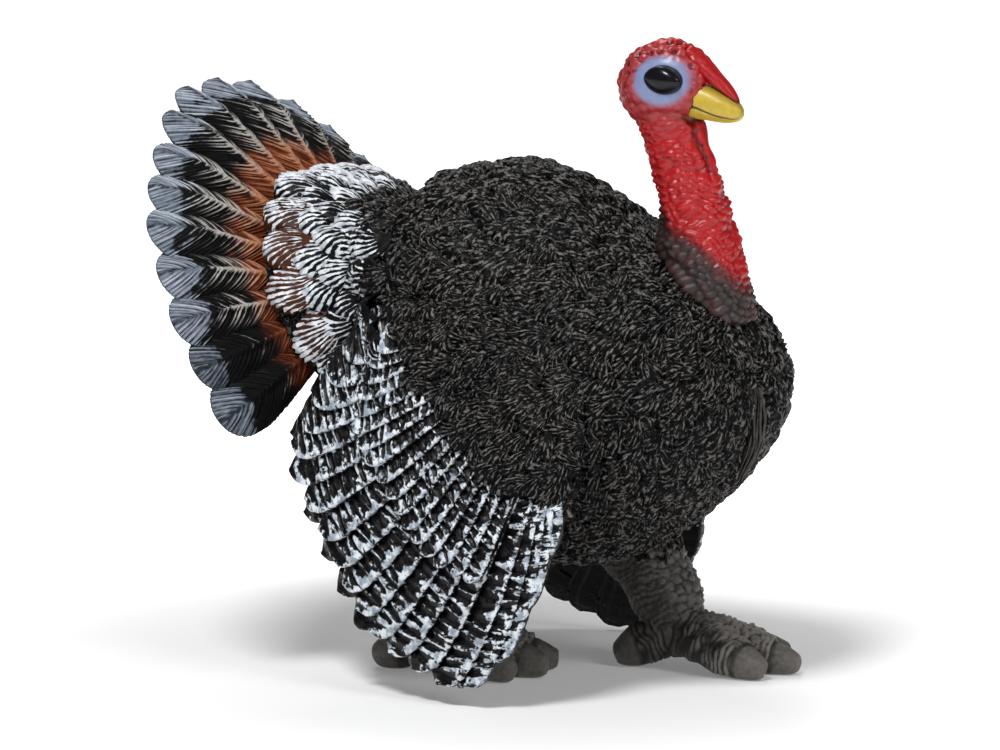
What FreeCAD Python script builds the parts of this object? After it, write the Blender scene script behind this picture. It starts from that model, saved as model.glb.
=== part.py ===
"""Moulded turkey figure in strut, as the separate soft-plastic mouldings that plug together.

Millimetres. +X runs from tail to breast, +Y to the bird's left, +Z up. While the pieces are
drawn, the frame's origin is on the ground under the middle of the torso; move_to_frame then
shifts everything along X, so that the origin is at the bottom centre of the whole figure's box.
"""

import FreeCAD, Part

import math
import os

from FreeCAD import Matrix, Placement, Rotation, Vector

# ---- torso: stations along X, each (x, bottom, top, half width)
TORSO_STATIONS = [
    (-28.5, 33.0, 42.5, 5.0),
    (-25.0, 25.5, 45.6, 9.0),
    (-20.0, 18.8, 48.4, 13.2),
    (-14.0, 13.8, 50.4, 16.2),
    (-7.0, 11.6, 51.2, 17.6),
    (0.0, 11.2, 49.2, 17.8),
    (6.5, 13.2, 45.2, 16.8),
    (11.6, 16.6, 41.4, 14.6),
    (15.7, 20.8, 37.8, 11.8),
    (18.1, 24.2, 34.8, 8.2),
    (19.3, 27.4, 31.8, 4.2),
]
WALL = 2.6
BOSS_DEPTH = 7.0
GLUE_GAP = 0.05
BOSS_WALL = 1.9

# ---- under-tail lobe: where the torso carries on below the fan's hub, in the fan's frame
LOBE_HALF_WIDTH = 9.0
LOBE_TOP = -12.0

# ---- tail fan: hub on the midplane, leaned back, dished away from the head
FAN_HUB = Vector(-24.1, 0, 37.6)
FAN_LEAN = 28.0
FAN_DISH = 15.0
FAN_RADIUS = 28.0
FAN_FEATHERS = 19
FAN_HALF_SPREAD = 109.0
FAN_FEATHER_WIDTH = 6.6
FAN_THICKNESS = 1.9
FAN_EDGE = 0.9
FAN_HUB_RADIUS = 11.0
FAN_PEG_RADIUS = 2.6
FAN_PEG_REACH = 11.0

# ---- covert collar: short pale feathers in a ring before the fan, with a sleeve over the rump
COVERT_RADIUS = 15.4
COVERT_FEATHERS = 17
COVERT_FEATHER_WIDTH = 4.2
COVERT_RIM = 0.8
COVERT_CROWN = 6.4
COVERT_CROWN_RADIUS = 9.6
COVERT_HUB_RADIUS = 13.2
SLEEVE_THICKNESS = 0.6
SLEEVE_REACH = 8.8

# ---- wings: a shell between two leaning elliptic cones, cut to a feathered outline in side view
WING_CENTRE_X = -2.0
WING_FOOT = (41.0, 23.0)
WING_HEAD = (36.0, 17.4)
WING_HEAD_HEIGHT = 40.0
WING_THICKNESS = 1.8
WING_PIN_RADIUS = 1.6
WING_PIN_INNER = 12.8
WING_PIN_OUTER = 24.0
WING_PIN_SINK = 0.3
WING_PINS = [(-9.0, 31.0), (2.0, 29.0)]
RIGHT_WING_SHIFT = Vector(0, 0, 0)
LEFT_WING_SHIFT = Vector(-6.0, 0, -1.3)
# each feather: root x, root z, tip x, tip z, width
WING_FEATHERS = [
    (-6.0, 37.6, -17.0, 35.6, 4.6),
    (-6.0, 36.5, -20.0, 32.6, 5.0),
    (-5.0, 35.0, -22.8, 29.4, 5.4),
    (-4.0, 33.5, -24.9, 26.0, 5.4),
    (-3.0, 32.0, -25.9, 22.4, 5.4),
    (-2.0, 31.0, -24.0, 18.8, 5.4),
    (-1.0, 30.0, -20.8, 15.2, 5.4),
    (0.0, 29.0, -18.2, 11.8, 5.2),
    (1.0, 28.0, -15.6, 8.8, 5.2),
    (2.0, 27.0, -12.9, 6.0, 5.2),
    (3.0, 26.0, -9.4, 4.0, 5.2),
    (4.3, 25.5, -5.4, 2.5, 5.2),
    (5.2, 25.0, -2.0, 1.6, 4.8),
    (5.8, 25.0, 1.4, 3.6, 4.6),
    (6.1, 25.0, 4.0, 8.6, 4.4),
    (6.2, 25.0, 5.8, 13.6, 4.2),
]
WING_BLADE = [(-6.0, 38.2), (3.0, 36.0), (7.8, 31.0), (8.4, 24.0), (4.0, 17.0), (-12.0, 22.0)]

# ---- neck and head: stations along the neck, each (x, z, radius)
NECK_STATIONS = [
    (13.2, 36.0, 4.7),
    (12.9, 39.5, 4.2),
    (12.6, 43.0, 3.6),
    (11.7, 46.5, 3.15),
    (10.7, 50.0, 2.85),
    (9.6, 53.0, 2.85),
    (8.9, 56.0, 3.0),
]
HEAD_CENTRE = Vector(8.5, 0, 58.9)
HEAD_RADII = (4.9, 3.8, 4.5)
NECK_PEG_RADIUS = 2.4
NECK_PEG_X = 12.8
NECK_PEG_FLOOR = 30.0
NECK_PEG_TOP = 43.0
DEWLAP = [(11.7, 55.8, 0.7), (12.3, 53.0, 1.0), (13.2, 50.2, 0.9), (14.0, 47.4, 0.4)]

# ---- beak and snood: stations along the midplane, each (x, z, half width, half height)
BEAK = [
    (11.2, 57.5, 1.9, 1.85),
    (13.4, 57.3, 1.75, 1.7),
    (15.3, 56.9, 1.4, 1.3),
    (16.8, 56.4, 0.75, 0.75),
]
SNOOD = [
    (11.6, 62.0, 1.3, 0.9),
    (13.4, 61.0, 1.25, 0.9),
    (15.0, 59.6, 0.95, 0.75),
    (16.2, 58.3, 0.5, 0.4),
]
FACE_PEG_RADIUS = 0.7
EYE_CENTRE = Vector(9.9, 3.3, 59.6)
EYE_RADII = (2.0, 0.95, 1.35)

# ---- beard tuft on the breast: stations (x, z, radius)
BEARD = [(19.0, 30.0, 0.8), (19.5, 26.8, 0.9), (18.9, 23.6, 0.75), (17.7, 20.4, 0.35)]
BEARD_PEG_RADIUS = 0.6
BEARD_PEG_ROOT = 15.4
BEARD_PEG_TIP = 19.4
BEARD_HEIGHT = 28.4

# ---- legs: shank stations (x, y, z, radius), then each toe's tip (x, y)
LEG_PEG_RADIUS = 2.0
LEG_PEG_TOP = 18.0
LEFT_SHANK = [
    (0.9, 6.8, 14.5, 4.8),
    (2.0, 6.9, 10.8, 4.0),
    (3.9, 7.0, 8.0, 3.6),
    (5.4, 7.0, 5.6, 3.1),
    (6.0, 7.0, 4.0, 2.7),
]
LEFT_TOES = [(17.2, 4.4), (18.7, 9.3), (15.4, 13.4), (0.2, 4.6)]
RIGHT_SHANK = [
    (-6.6, -6.4, 14.5, 4.8),
    (-8.6, -6.5, 10.8, 4.0),
    (-10.6, -6.6, 8.0, 3.5),
    (-12.3, -6.7, 5.6, 3.0),
    (-12.9, -6.7, 4.0, 2.6),
]
RIGHT_TOES = [(-3.2, -0.8), (-2.0, -5.2), (-3.4, -9.6), (-20.0, -8.6)]
PALM_HEIGHT = 3.6
PALM_RADIUS = 2.5
KNUCKLE = (0.4, 2.8, 2.25)
NAIL = (0.8, 1.5, 1.75)
CLAW_HEIGHT = 1.2
CLAW_END_RADIUS = 0.95

# ---- locating pins between the two halves of the torso (x, z)
SHELL_PINS = [(-6.0, 47.4), (-11.0, 16.4), (8.0, 17.6)]
SHELL_PIN_RADIUS = 1.2
SHELL_PIN_ROOT = 1.0
SHELL_PIN_REACH = 3.0
SHELL_BOSS_RADIUS = 2.8
SHELL_BOSS_REACH = 4.0

HUGE = 200.0


def half_space(side):
    """The half of space on one side of the midplane: side -1 is the bird's right."""
    box = Part.makeBox(2 * HUGE, HUGE, 2 * HUGE)
    box.translate(Vector(-HUGE, 0 if side > 0 else -HUGE, -HUGE))
    return box


def cylinder(radius, start, end):
    direction = end.sub(start)
    return Part.makeCylinder(radius, direction.Length, start, direction)


def ellipsoid(centre, radii):
    ball = Part.makeSphere(1.0)
    stretch = Matrix()
    stretch.scale(*radii)
    ball = ball.transformGeometry(stretch)
    ball.translate(centre)
    return ball


def ellipse_wire(centre, across, up, half_across, half_up):
    """An ellipse about centre, with its half sizes along the two given directions."""
    if half_across >= half_up:
        major, minor, direction, other = half_across, half_up, across, up
    else:
        major, minor, direction, other = half_up, half_across, up, across.negative()
    frame = Rotation(direction, other, direction.cross(other), "XYZ")
    edge = Part.Ellipse(Vector(0, 0, 0), major, minor).toShape()
    edge.Placement = Placement(centre, frame)
    return Part.Wire([edge])


def tube(stations):
    """A lofted limb through round stations, each (point, radius), square to its own path."""
    rings = []
    for i, (point, radius) in enumerate(stations):
        before = stations[max(i - 1, 0)][0]
        after = stations[min(i + 1, len(stations) - 1)][0]
        rings.append(Part.Wire([Part.Circle(point, after.sub(before), radius).toShape()]))
    return Part.makeLoft(rings, True)


def midplane_tube(stations):
    return tube([(Vector(x, 0, z), radius) for x, z, radius in stations])


def flat_tube(stations):
    """A loft on the midplane through ellipses that stand square to X: (x, z, half width, half height)."""
    left, up = Vector(0, 1, 0), Vector(0, 0, 1)
    rings = [ellipse_wire(Vector(x, 0, z), left, up, wide, high) for x, z, wide, high in stations]
    return Part.makeLoft(rings, True)


# ---- torso


def torso_loft(inset):
    rings = []
    for x, bottom, top, half_width in TORSO_STATIONS:
        half_height = (top - bottom) / 2
        if min(half_height, half_width) <= inset + 0.4:
            continue
        centre = Vector(x, 0, (top + bottom) / 2)
        across, up = Vector(0, 1, 0), Vector(0, 0, 1)
        rings.append(ellipse_wire(centre, across, up, half_width - inset, half_height - inset))
    return Part.makeLoft(rings, True)


def fan_placement():
    """The fan's own frame: x to the bird's left, y up the fan, z out of its front face."""
    lean = math.radians(FAN_LEAN)
    left = Vector(0, 1, 0)
    up_fan = Vector(-math.sin(lean), 0, math.cos(lean))
    front = left.cross(up_fan)
    return Placement(FAN_HUB, Rotation(left, up_fan, front, "XYZ"))


def behind_fan(height):
    """Everything on the tail side of a plane square to the fan's axis, this far before its hub."""
    slab = Part.makeBox(2 * HUGE, 2 * HUGE, HUGE)
    slab.translate(Vector(-HUGE, -HUGE, height - HUGE))
    slab.Placement = fan_placement().multiply(slab.Placement)
    return slab


def torso_body():
    """The torso's outer form, cut square where the fan sits, with a lobe left below the fan's hub."""
    lobe = Part.makeBox(2 * LOBE_HALF_WIDTH, HUGE, 2 * HUGE)
    lobe.translate(Vector(-LOBE_HALF_WIDTH, LOBE_TOP - HUGE, -HUGE))
    lobe.Placement = fan_placement().multiply(lobe.Placement)
    return torso_loft(0).cut(behind_fan(COVERT_RIM).cut(lobe))


def leg_peg(shank, radius, deeper=0.0):
    x, y, hip, hip_radius = shank[0]
    return cylinder(radius, Vector(x, y, hip - 5.0), Vector(x, y, LEG_PEG_TOP + deeper))


def wing_pin(side, x, z, radius, deeper=0.0):
    inner = WING_PIN_INNER - deeper
    return cylinder(radius, Vector(x, side * inner, z), Vector(x, side * WING_PIN_OUTER, z))


def fan_peg(radius, reach):
    peg = Part.makeCylinder(radius, reach + FAN_THICKNESS / 2, Vector(0, 0, -FAN_THICKNESS / 2))
    peg.Placement = fan_placement()
    return peg


def neck_peg(radius, deeper=0.0):
    floor = Vector(NECK_PEG_X, 0, NECK_PEG_FLOOR - deeper)
    return cylinder(radius, floor, Vector(NECK_PEG_X, 0, NECK_PEG_TOP))


def beard_peg(radius):
    root, tip = [Vector(x, 0, BEARD_HEIGHT) for x in (BEARD_PEG_ROOT, BEARD_PEG_TIP)]
    return cylinder(radius, root, tip)


def plugs(extra, deeper):
    """Every peg that enters the torso, grown by extra in radius and by deeper at its inner end."""
    shapes = [neck_peg(NECK_PEG_RADIUS + extra, deeper)]
    shapes.append(fan_peg(FAN_PEG_RADIUS + extra, FAN_PEG_REACH + deeper))
    for side in (-1, 1):
        shapes += [wing_pin(side, x, z, WING_PIN_RADIUS + extra, deeper) for x, z in WING_PINS]
    shapes += [leg_peg(shank, LEG_PEG_RADIUS + extra, deeper) for shank in (LEFT_SHANK, RIGHT_SHANK)]
    return shapes


def torso_shells(body):
    """The right and left halves: hollow, with bosses inside wherever another moulding plugs in."""
    cavity = torso_loft(WALL).cut(behind_fan(COVERT_RIM + WALL))
    bosses = plugs(BOSS_WALL, BOSS_WALL)
    for x, z in SHELL_PINS:
        ends = [Vector(x, side * SHELL_BOSS_REACH, z) for side in (-1, 1)]
        bosses.append(cylinder(SHELL_BOSS_RADIUS, *ends))
    for boss in bosses:
        cavity = cavity.cut(boss)
    shell = body.cut(cavity)
    for socket in plugs(GLUE_GAP, GLUE_GAP) + [beard_peg(BEARD_PEG_RADIUS + GLUE_GAP)]:
        shell = shell.cut(socket)
    right, left = shell.common(half_space(-1)), shell.common(half_space(1))
    for x, z in SHELL_PINS:
        start = Vector(x, -SHELL_PIN_ROOT, z)
        right = right.fuse(cylinder(SHELL_PIN_RADIUS, start, Vector(x, SHELL_PIN_REACH, z)))
        hole_end = Vector(x, SHELL_PIN_REACH + 0.3, z)
        left = left.cut(cylinder(SHELL_PIN_RADIUS + GLUE_GAP, start, hole_end))
    return right, left


# ---- tail fan and its covert collar


def feather_face(root, tip, width):
    """A flat feather outline: straight sides from root to near the tip, then a half-round end."""
    along = tip.sub(root)
    length = along.Length
    half = width / 2
    a, b = Vector(0, -half, 0), Vector(length - half, -half, 0)
    c, d = Vector(length - half, half, 0), Vector(0, half, 0)
    edges = [
        Part.LineSegment(a, b).toShape(),
        Part.Arc(b, Vector(length, 0, 0), c).toShape(),
        Part.LineSegment(c, d).toShape(),
        Part.LineSegment(d, a).toShape(),
    ]
    face = Part.Face(Part.Wire(edges))
    face.Placement = Placement(root, Rotation(Vector(1, 0, 0), along))
    return face


def rosette(count, half_spread, radius, width, hub_radius):
    """A thick blank whose outline is a ring of round-ended feathers on a hub, in the fan's frame."""
    blank = Part.makeCylinder(hub_radius, HUGE / 2, Vector(0, 0, -HUGE / 4))
    for i in range(count):
        angle = math.radians(half_spread * (2 * i / (count - 1) - 1))
        tip = Vector(radius * math.sin(angle), radius * math.cos(angle), 0)
        petal = feather_face(tip * 0.05, tip, width).extrude(Vector(0, 0, HUGE / 2))
        petal.translate(Vector(0, 0, -HUGE / 4))
        blank = blank.fuse(petal)
    return blank


def turned(profile):
    """Turns a closed (radius, height) outline about the fan's axis."""
    points = [Vector(radius, 0, height) for radius, height in profile]
    face = Part.Face(Part.makePolygon(points + points[:1]))
    return face.revolve(Vector(0, 0, 0), Vector(0, 0, 1), 360)


def tail_fan():
    drop = math.tan(math.radians(FAN_DISH))
    rim = FAN_RADIUS * math.cos(math.radians(FAN_DISH))
    reach = rim + 3
    edge = -reach * drop
    dish = turned([(0, 0), (reach, edge), (reach, edge - FAN_EDGE), (0, -FAN_THICKNESS)])
    fan = dish.common(rosette(FAN_FEATHERS, FAN_HALF_SPREAD, rim, FAN_FEATHER_WIDTH, FAN_HUB_RADIUS))
    fan.Placement = fan_placement()
    return fan.fuse(fan_peg(FAN_PEG_RADIUS, FAN_PEG_REACH))


def tail_coverts(body):
    """The collar: a low dome on the fan with a feathered rim, and a thin sleeve over the rump."""
    drop = math.tan(math.radians(FAN_DISH))
    hole = FAN_PEG_RADIUS + GLUE_GAP
    reach = COVERT_RADIUS + 1
    profile = [
        (hole, -hole * drop),
        (reach, -reach * drop),
        (reach, COVERT_RIM - reach * drop),
        (COVERT_CROWN_RADIUS + 3, COVERT_CROWN * 0.45),
        (COVERT_CROWN_RADIUS, COVERT_CROWN),
        (hole, COVERT_CROWN),
    ]
    spread = FAN_HALF_SPREAD + 4
    dome = turned(profile).common(
        rosette(COVERT_FEATHERS, spread, COVERT_RADIUS, COVERT_FEATHER_WIDTH, COVERT_HUB_RADIUS)
    )
    dome.Placement = fan_placement()
    sleeve = torso_loft(-SLEEVE_THICKNESS).common(behind_fan(SLEEVE_REACH)).cut(behind_fan(COVERT_RIM))
    skirt = Part.makeBox(2 * HUGE, HUGE, 2 * HUGE)
    skirt.translate(Vector(-HUGE, LOBE_TOP - HUGE, -HUGE))
    skirt.Placement = fan_placement().multiply(skirt.Placement)
    return dome.fuse(sleeve.cut(skirt)).cut(body)


# ---- wings


def wing_cone(inset):
    def ring(height, radii):
        centre = Vector(WING_CENTRE_X, 0, height)
        return ellipse_wire(centre, Vector(1, 0, 0), Vector(0, 1, 0), radii[0] - inset, radii[1] - inset)

    return Part.makeLoft([ring(0, WING_FOOT), ring(WING_HEAD_HEIGHT, WING_HEAD)], True, True)


def wing(side, shift, body, neighbours):
    """One wing: the cone shell cut to its feathers' outline, with two pins that enter the torso."""
    shell = wing_cone(0).cut(wing_cone(WING_THICKNESS))
    outline = Part.Face(Part.makePolygon([Vector(x, z, 0) for x, z in WING_BLADE + WING_BLADE[:1]]))
    outline = outline.extrude(Vector(0, 0, HUGE / 2))
    for root_x, root_z, tip_x, tip_z, width in WING_FEATHERS:
        feather = feather_face(Vector(root_x, root_z, 0), Vector(tip_x, tip_z, 0), width)
        outline = outline.fuse(feather.extrude(Vector(0, 0, HUGE / 2)))
    # the outline is drawn flat as (x, z); stand it up so that its thickness runs out to the right
    outline.rotate(Vector(0, 0, 0), Vector(1, 0, 0), 90)
    blade = shell.common(outline)
    if side > 0:
        blade = blade.mirror(Vector(0, 0, 0), Vector(0, 1, 0))
    blade.translate(shift)
    inner_cone = wing_cone(WING_PIN_SINK)
    inner_cone.translate(shift)
    for x, z in WING_PINS:
        body = body.cut(wing_pin(side, x, z, WING_PIN_RADIUS))
        blade = blade.fuse(wing_pin(side, x, z, WING_PIN_RADIUS).common(inner_cone))
    blade = blade.cut(body)
    for neighbour in neighbours:
        blade = blade.cut(neighbour)
    return blade


# ---- neck, head and face


def head_blank():
    neck = midplane_tube(NECK_STATIONS)
    head = ellipsoid(HEAD_CENTRE, HEAD_RADII)
    return neck.fuse(head).fuse(midplane_tube(DEWLAP))


def face_peg(x, z, radius):
    return cylinder(radius, Vector(x - 3.0, 0, z), Vector(x + 0.8, 0, z))


def eye_peg(side, radius):
    x, y, z = EYE_CENTRE
    return cylinder(radius, Vector(x, side * (y - 1.6), z), Vector(x, side * (y + 0.5), z))


def neck_and_head(blank, body):
    head = blank.cut(body).fuse(neck_peg(NECK_PEG_RADIUS).common(body.fuse(blank)))
    sockets = [face_peg(BEAK[0][0] + 1, BEAK[0][1], FACE_PEG_RADIUS + GLUE_GAP)]
    sockets += [eye_peg(side, FACE_PEG_RADIUS + GLUE_GAP) for side in (-1, 1)]
    for socket in sockets:
        head = head.cut(socket)
    return head


def beak(blank):
    return flat_tube(BEAK).cut(blank).fuse(face_peg(BEAK[0][0] + 1, BEAK[0][1], FACE_PEG_RADIUS))


def snood(blank, beak_shape):
    return flat_tube(SNOOD).cut(blank).cut(beak_shape)


def eye(side, blank):
    centre = Vector(EYE_CENTRE.x, side * EYE_CENTRE.y, EYE_CENTRE.z)
    return ellipsoid(centre, EYE_RADII).cut(blank).fuse(eye_peg(side, FACE_PEG_RADIUS))


def beard(body):
    hole = beard_peg(BEARD_PEG_RADIUS)
    return midplane_tube(BEARD).cut(body).fuse(hole)


# ---- legs


def toe(palm, tip_x, tip_y):
    """One toe from the palm down to a blunt claw, past the knuckle and the root of the nail."""
    run = Vector(tip_x - palm.x, tip_y - palm.y, 0)
    stations = [(palm, KNUCKLE[2] + 0.2)]
    for along, height, radius in (KNUCKLE, NAIL):
        place = palm + run * along
        stations.append((Vector(place.x, place.y, height), radius))
    stations.append((Vector(tip_x, tip_y, CLAW_HEIGHT), CLAW_END_RADIUS))
    return tube(stations)


def leg(shank, toes, body):
    """One leg: a shank into the belly and four toes, cut flat at the sole."""
    limb = tube([(Vector(x, y, z), radius) for x, y, z, radius in shank])
    palm = Vector(shank[-1][0], shank[-1][1], PALM_HEIGHT)
    limb = limb.fuse(Part.makeSphere(PALM_RADIUS, palm))
    for x, y in toes:
        limb = limb.fuse(toe(palm, x, y))
    floor = Part.makeBox(2 * HUGE, 2 * HUGE, HUGE)
    floor.translate(Vector(-HUGE, -HUGE, -HUGE))
    limb = limb.cut(floor).cut(body)
    return limb.fuse(leg_peg(shank, LEG_PEG_RADIUS))


def build():
    body = torso_body()
    right_shell, left_shell = torso_shells(body)
    blank = head_blank()
    beak_shape = beak(blank)
    fan = tail_fan()
    coverts = tail_coverts(body)
    return {
        "torso_shell_right": right_shell,
        "torso_shell_left": left_shell,
        "neck_and_head": neck_and_head(blank, body),
        "beak": beak_shape,
        "snood": snood(blank, beak_shape),
        "eye_right": eye(-1, blank),
        "eye_left": eye(1, blank),
        "beard": beard(body),
        "tail_fan": fan,
        "tail_coverts": coverts,
        "wing_right": wing(-1, RIGHT_WING_SHIFT, body, [coverts, fan]),
        "wing_left": wing(1, LEFT_WING_SHIFT, body, [coverts, fan]),
        "leg_right": leg(RIGHT_SHANK, RIGHT_TOES, body),
        "leg_left": leg(LEFT_SHANK, LEFT_TOES, body),
    }


def move_to_frame(pieces):
    """Shifts every piece along X, so that the origin is midway along the whole figure."""
    boxes = [shape.optimalBoundingBox(False, False) for shape in pieces.values()]
    middle = (min(box.XMin for box in boxes) + max(box.XMax for box in boxes)) / 2
    for shape in pieces.values():
        shape.translate(Vector(-middle, 0, 0))
    return middle


def main():
    pieces = build()
    middle = move_to_frame(pieces)
    os.makedirs("parts", exist_ok=True)
    print("moved along X by", round(-middle, 3))
    for name, shape in pieces.items():
        shape.exportStep(os.path.join("parts", name + ".step"))
        box = shape.optimalBoundingBox(False, False)
        low = [round(value, 2) for value in (box.XMin, box.YMin, box.ZMin)]
        high = [round(value, 2) for value in (box.XMax, box.YMax, box.ZMax)]
        print(name, shape.isValid(), len(shape.Solids), round(shape.Volume, 1), low, high)


main()
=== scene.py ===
"""Looks of the moulded turkey figure: feathers, bare skin and scutes as hand-painted soft plastic.

Shapes are worked out in millimetres in a drawing frame, whose origin is on the ground under the
torso's middle, as in the CAD. to_frame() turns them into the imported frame's metres.
"""

import math

import bpy
import numpy as np
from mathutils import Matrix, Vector
from mathutils.bvhtree import BVHTree


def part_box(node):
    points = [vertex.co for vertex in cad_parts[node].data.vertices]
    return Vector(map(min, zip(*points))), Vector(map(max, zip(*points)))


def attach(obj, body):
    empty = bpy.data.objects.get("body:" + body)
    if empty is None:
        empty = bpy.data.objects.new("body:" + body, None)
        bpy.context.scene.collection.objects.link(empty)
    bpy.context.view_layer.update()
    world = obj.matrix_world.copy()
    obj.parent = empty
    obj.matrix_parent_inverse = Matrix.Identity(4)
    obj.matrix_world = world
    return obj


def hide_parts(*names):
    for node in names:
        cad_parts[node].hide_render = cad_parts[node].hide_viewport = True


MM = 0.001

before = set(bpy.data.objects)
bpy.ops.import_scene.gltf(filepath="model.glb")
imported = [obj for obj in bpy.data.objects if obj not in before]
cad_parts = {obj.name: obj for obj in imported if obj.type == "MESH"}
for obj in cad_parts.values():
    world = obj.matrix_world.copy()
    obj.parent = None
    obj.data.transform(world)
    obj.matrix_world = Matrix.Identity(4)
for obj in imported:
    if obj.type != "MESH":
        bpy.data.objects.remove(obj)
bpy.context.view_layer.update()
rng = np.random.default_rng(20)

# The back of the head is the rearmost point of its node, 3.6 mm ahead of the drawing's origin.
HEAD_BACK_X = 3.6
ORIGIN_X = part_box("neck_and_head")[0][0] / MM - HEAD_BACK_X


# ---- small helpers


def to_frame(points):
    return (np.asarray(points) + [ORIGIN_X, 0, 0]) * MM


def unit(vectors):
    lengths = np.linalg.norm(vectors, axis=-1, keepdims=True)
    return vectors / np.maximum(lengths, 1e-9)


def smoothstep(low, high, value):
    t = np.clip((value - low) / (high - low), 0, 1)
    return t * t * (3 - 2 * t)


def bell(value, centre, width):
    """1 at the centre, falling smoothly to nothing over about twice the width."""
    return np.exp(-(((value - centre) / width) ** 2))


def catmull(table, t):
    """Smooth interpolation of the rows of a table at the fractional row numbers t."""
    table = np.asarray(table, float)
    last = len(table) - 1
    i = np.clip(np.floor(t).astype(int), 0, last - 1)
    f = (t - i)[..., None]
    a, b = table[np.clip(i - 1, 0, last)], table[i]
    c, d = table[i + 1], table[np.clip(i + 2, 0, last)]
    return b + 0.5 * f * (c - a + f * (2 * a - 5 * b + 4 * c - d + f * (3 * (b - c) + d - a)))


def wobble(points, scale, seed=0):
    """A cheap smooth noise between about -1 and 1, from a few crossed waves."""
    p = np.asarray(points) / scale
    directions = np.random.default_rng(seed).normal(size=(7, 3))
    phases = np.random.default_rng(seed + 1).uniform(0, 6.3, 7)
    return np.sin(p @ directions.T * 1.7 + phases).mean(-1) * 1.9


def grid_faces(rows, columns, closed=False):
    """Quads of a grid of rows x columns vertices; closed joins the last column to the first."""
    across = columns if closed else columns - 1
    r, c = np.meshgrid(np.arange(rows - 1), np.arange(across), indexing="ij")
    r, c = r.ravel(), c.ravel()
    n = (c + 1) % columns
    return np.stack([r * columns + c, r * columns + n, (r + 1) * columns + n, (r + 1) * columns + c], 1)


def round_grid(t, columns, start=-math.pi):
    """The rows t crossed with angles all the way round."""
    phi = np.linspace(start, start + 2 * math.pi, columns, endpoint=False)
    return np.meshgrid(t, phi, indexing="ij")


def even_paint(points, relief):
    return np.tile([relief, 0.5, 0.5, 0.5], (len(points), 1))


def add_piece(name, parts, node, material):
    """Joins (points, faces, paint) parts into one mesh object that stands for a CAD node."""
    points, faces, paint, start = [], [], [], 0
    for part_points, part_faces, part_paint in parts:
        points.append(part_points)
        faces.append(part_faces + start)
        paint.append(part_paint)
        start += len(part_points)
    points, faces, paint = np.vstack(points), np.vstack(faces), np.vstack(paint)
    mesh = bpy.data.meshes.new(name)
    mesh.vertices.add(len(points))
    mesh.vertices.foreach_set("co", to_frame(points).ravel())
    mesh.loops.add(faces.size)
    mesh.loops.foreach_set("vertex_index", faces.ravel().astype(np.int32))
    mesh.polygons.add(len(faces))
    mesh.polygons.foreach_set("loop_start", np.arange(0, faces.size, faces.shape[1], dtype=np.int32))
    mesh.polygons.foreach_set("use_smooth", np.ones(len(faces), bool))
    mesh.update(calc_edges=True)
    mesh.validate()
    layer = mesh.attributes.new("paint", "FLOAT_COLOR", "POINT")
    layer.data.foreach_set("color", paint.astype(np.float32).ravel())
    piece = bpy.data.objects.new(name, mesh)
    bpy.context.scene.collection.objects.link(piece)
    piece.data.materials.append(material)
    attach(piece, "root")
    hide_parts(node)


# ---- node materials


class Signal:
    """A node's output. Arithmetic on it adds Math nodes."""

    def __init__(self, shader, socket):
        self.shader = shader
        self.socket = socket

    def __add__(self, other):
        return self.shader.math("ADD", self, other)

    def __sub__(self, other):
        return self.shader.math("SUBTRACT", self, other)

    def __mul__(self, other):
        return self.shader.math("MULTIPLY", self, other)

    def __abs__(self):
        return self.shader.math("ABSOLUTE", self, 0.0)


class Shader:
    """A material under construction: every call adds a node and returns its output as a Signal."""

    def __init__(self, name):
        self.material = bpy.data.materials.new(name)
        self.material.use_nodes = True
        self.tree = self.material.node_tree
        self.tree.nodes.clear()

    def link(self, value, socket):
        if isinstance(value, Signal):
            self.tree.links.new(value.socket, socket)
        else:
            socket.default_value = value

    def node(self, kind, inputs, output=0, **settings):
        node = self.tree.nodes.new("ShaderNode" + kind)
        for name, value in settings.items():
            setattr(node, name, value)
        for key, value in inputs.items():
            self.link(value, node.inputs[key])
        return Signal(self, node.outputs[output]) if len(node.outputs) else None

    def paint(self):
        """The piece's four painted values, such as relief, along, across and seed."""
        source = self.tree.nodes.new("ShaderNodeAttribute")
        source.attribute_name = "paint"
        split = self.tree.nodes.new("ShaderNodeSeparateColor")
        self.tree.links.new(source.outputs["Color"], split.inputs[0])
        return [Signal(self, output) for output in (*split.outputs, source.outputs["Alpha"])]

    def place(self):
        return self.node("TexCoord", {}, "Object")

    def noise(self, per_mm, detail=4.0, vector=None):
        inputs = {"Scale": per_mm / MM, "Detail": detail, "Roughness": 0.55, "Vector": vector or self.place()}
        return self.node("TexNoise", inputs, "Fac")

    def strokes(self, row, across, rows, streaks):
        """Noise drawn out along the barbs of a feather."""
        return self.noise(MM, 2.0, self.node("CombineXYZ", {0: row * rows, 1: across * streaks}))

    def math(self, operation, a, b):
        return self.node("Math", {0: a, 1: b, 2: 0.0}, operation=operation)

    def ramp(self, value, low, high, at_low=0.0, at_high=1.0):
        """A smooth step of value from low to high."""
        inputs = dict(enumerate((value, low, high, at_low, at_high)))
        return self.node("MapRange", inputs, interpolation_type="SMOOTHSTEP")

    def mix(self, factor, a, b):
        a, b = (colour if isinstance(colour, Signal) else (*colour, 1) for colour in (a, b))
        return self.node("Mix", {0: factor, 6: a, 7: b}, 2, data_type="RGBA")

    def bump(self, height, strength, distance_mm):
        return self.node("Bump", {"Strength": strength, "Distance": distance_mm * MM, "Height": height})

    def finish(self, colour, roughness, normal, specular=0.5, coat=0.0, coat_roughness=0.2, glow=0.0):
        inputs = {
            "Base Color": colour,
            "Roughness": roughness,
            "Normal": normal,
            "Specular IOR Level": specular,
            "Coat Weight": coat,
            "Coat Roughness": coat_roughness,
            "Emission Strength": glow,
        }
        self.node("OutputMaterial", {"Surface": self.node("BsdfPrincipled", inputs)})
        return self.material


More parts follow.
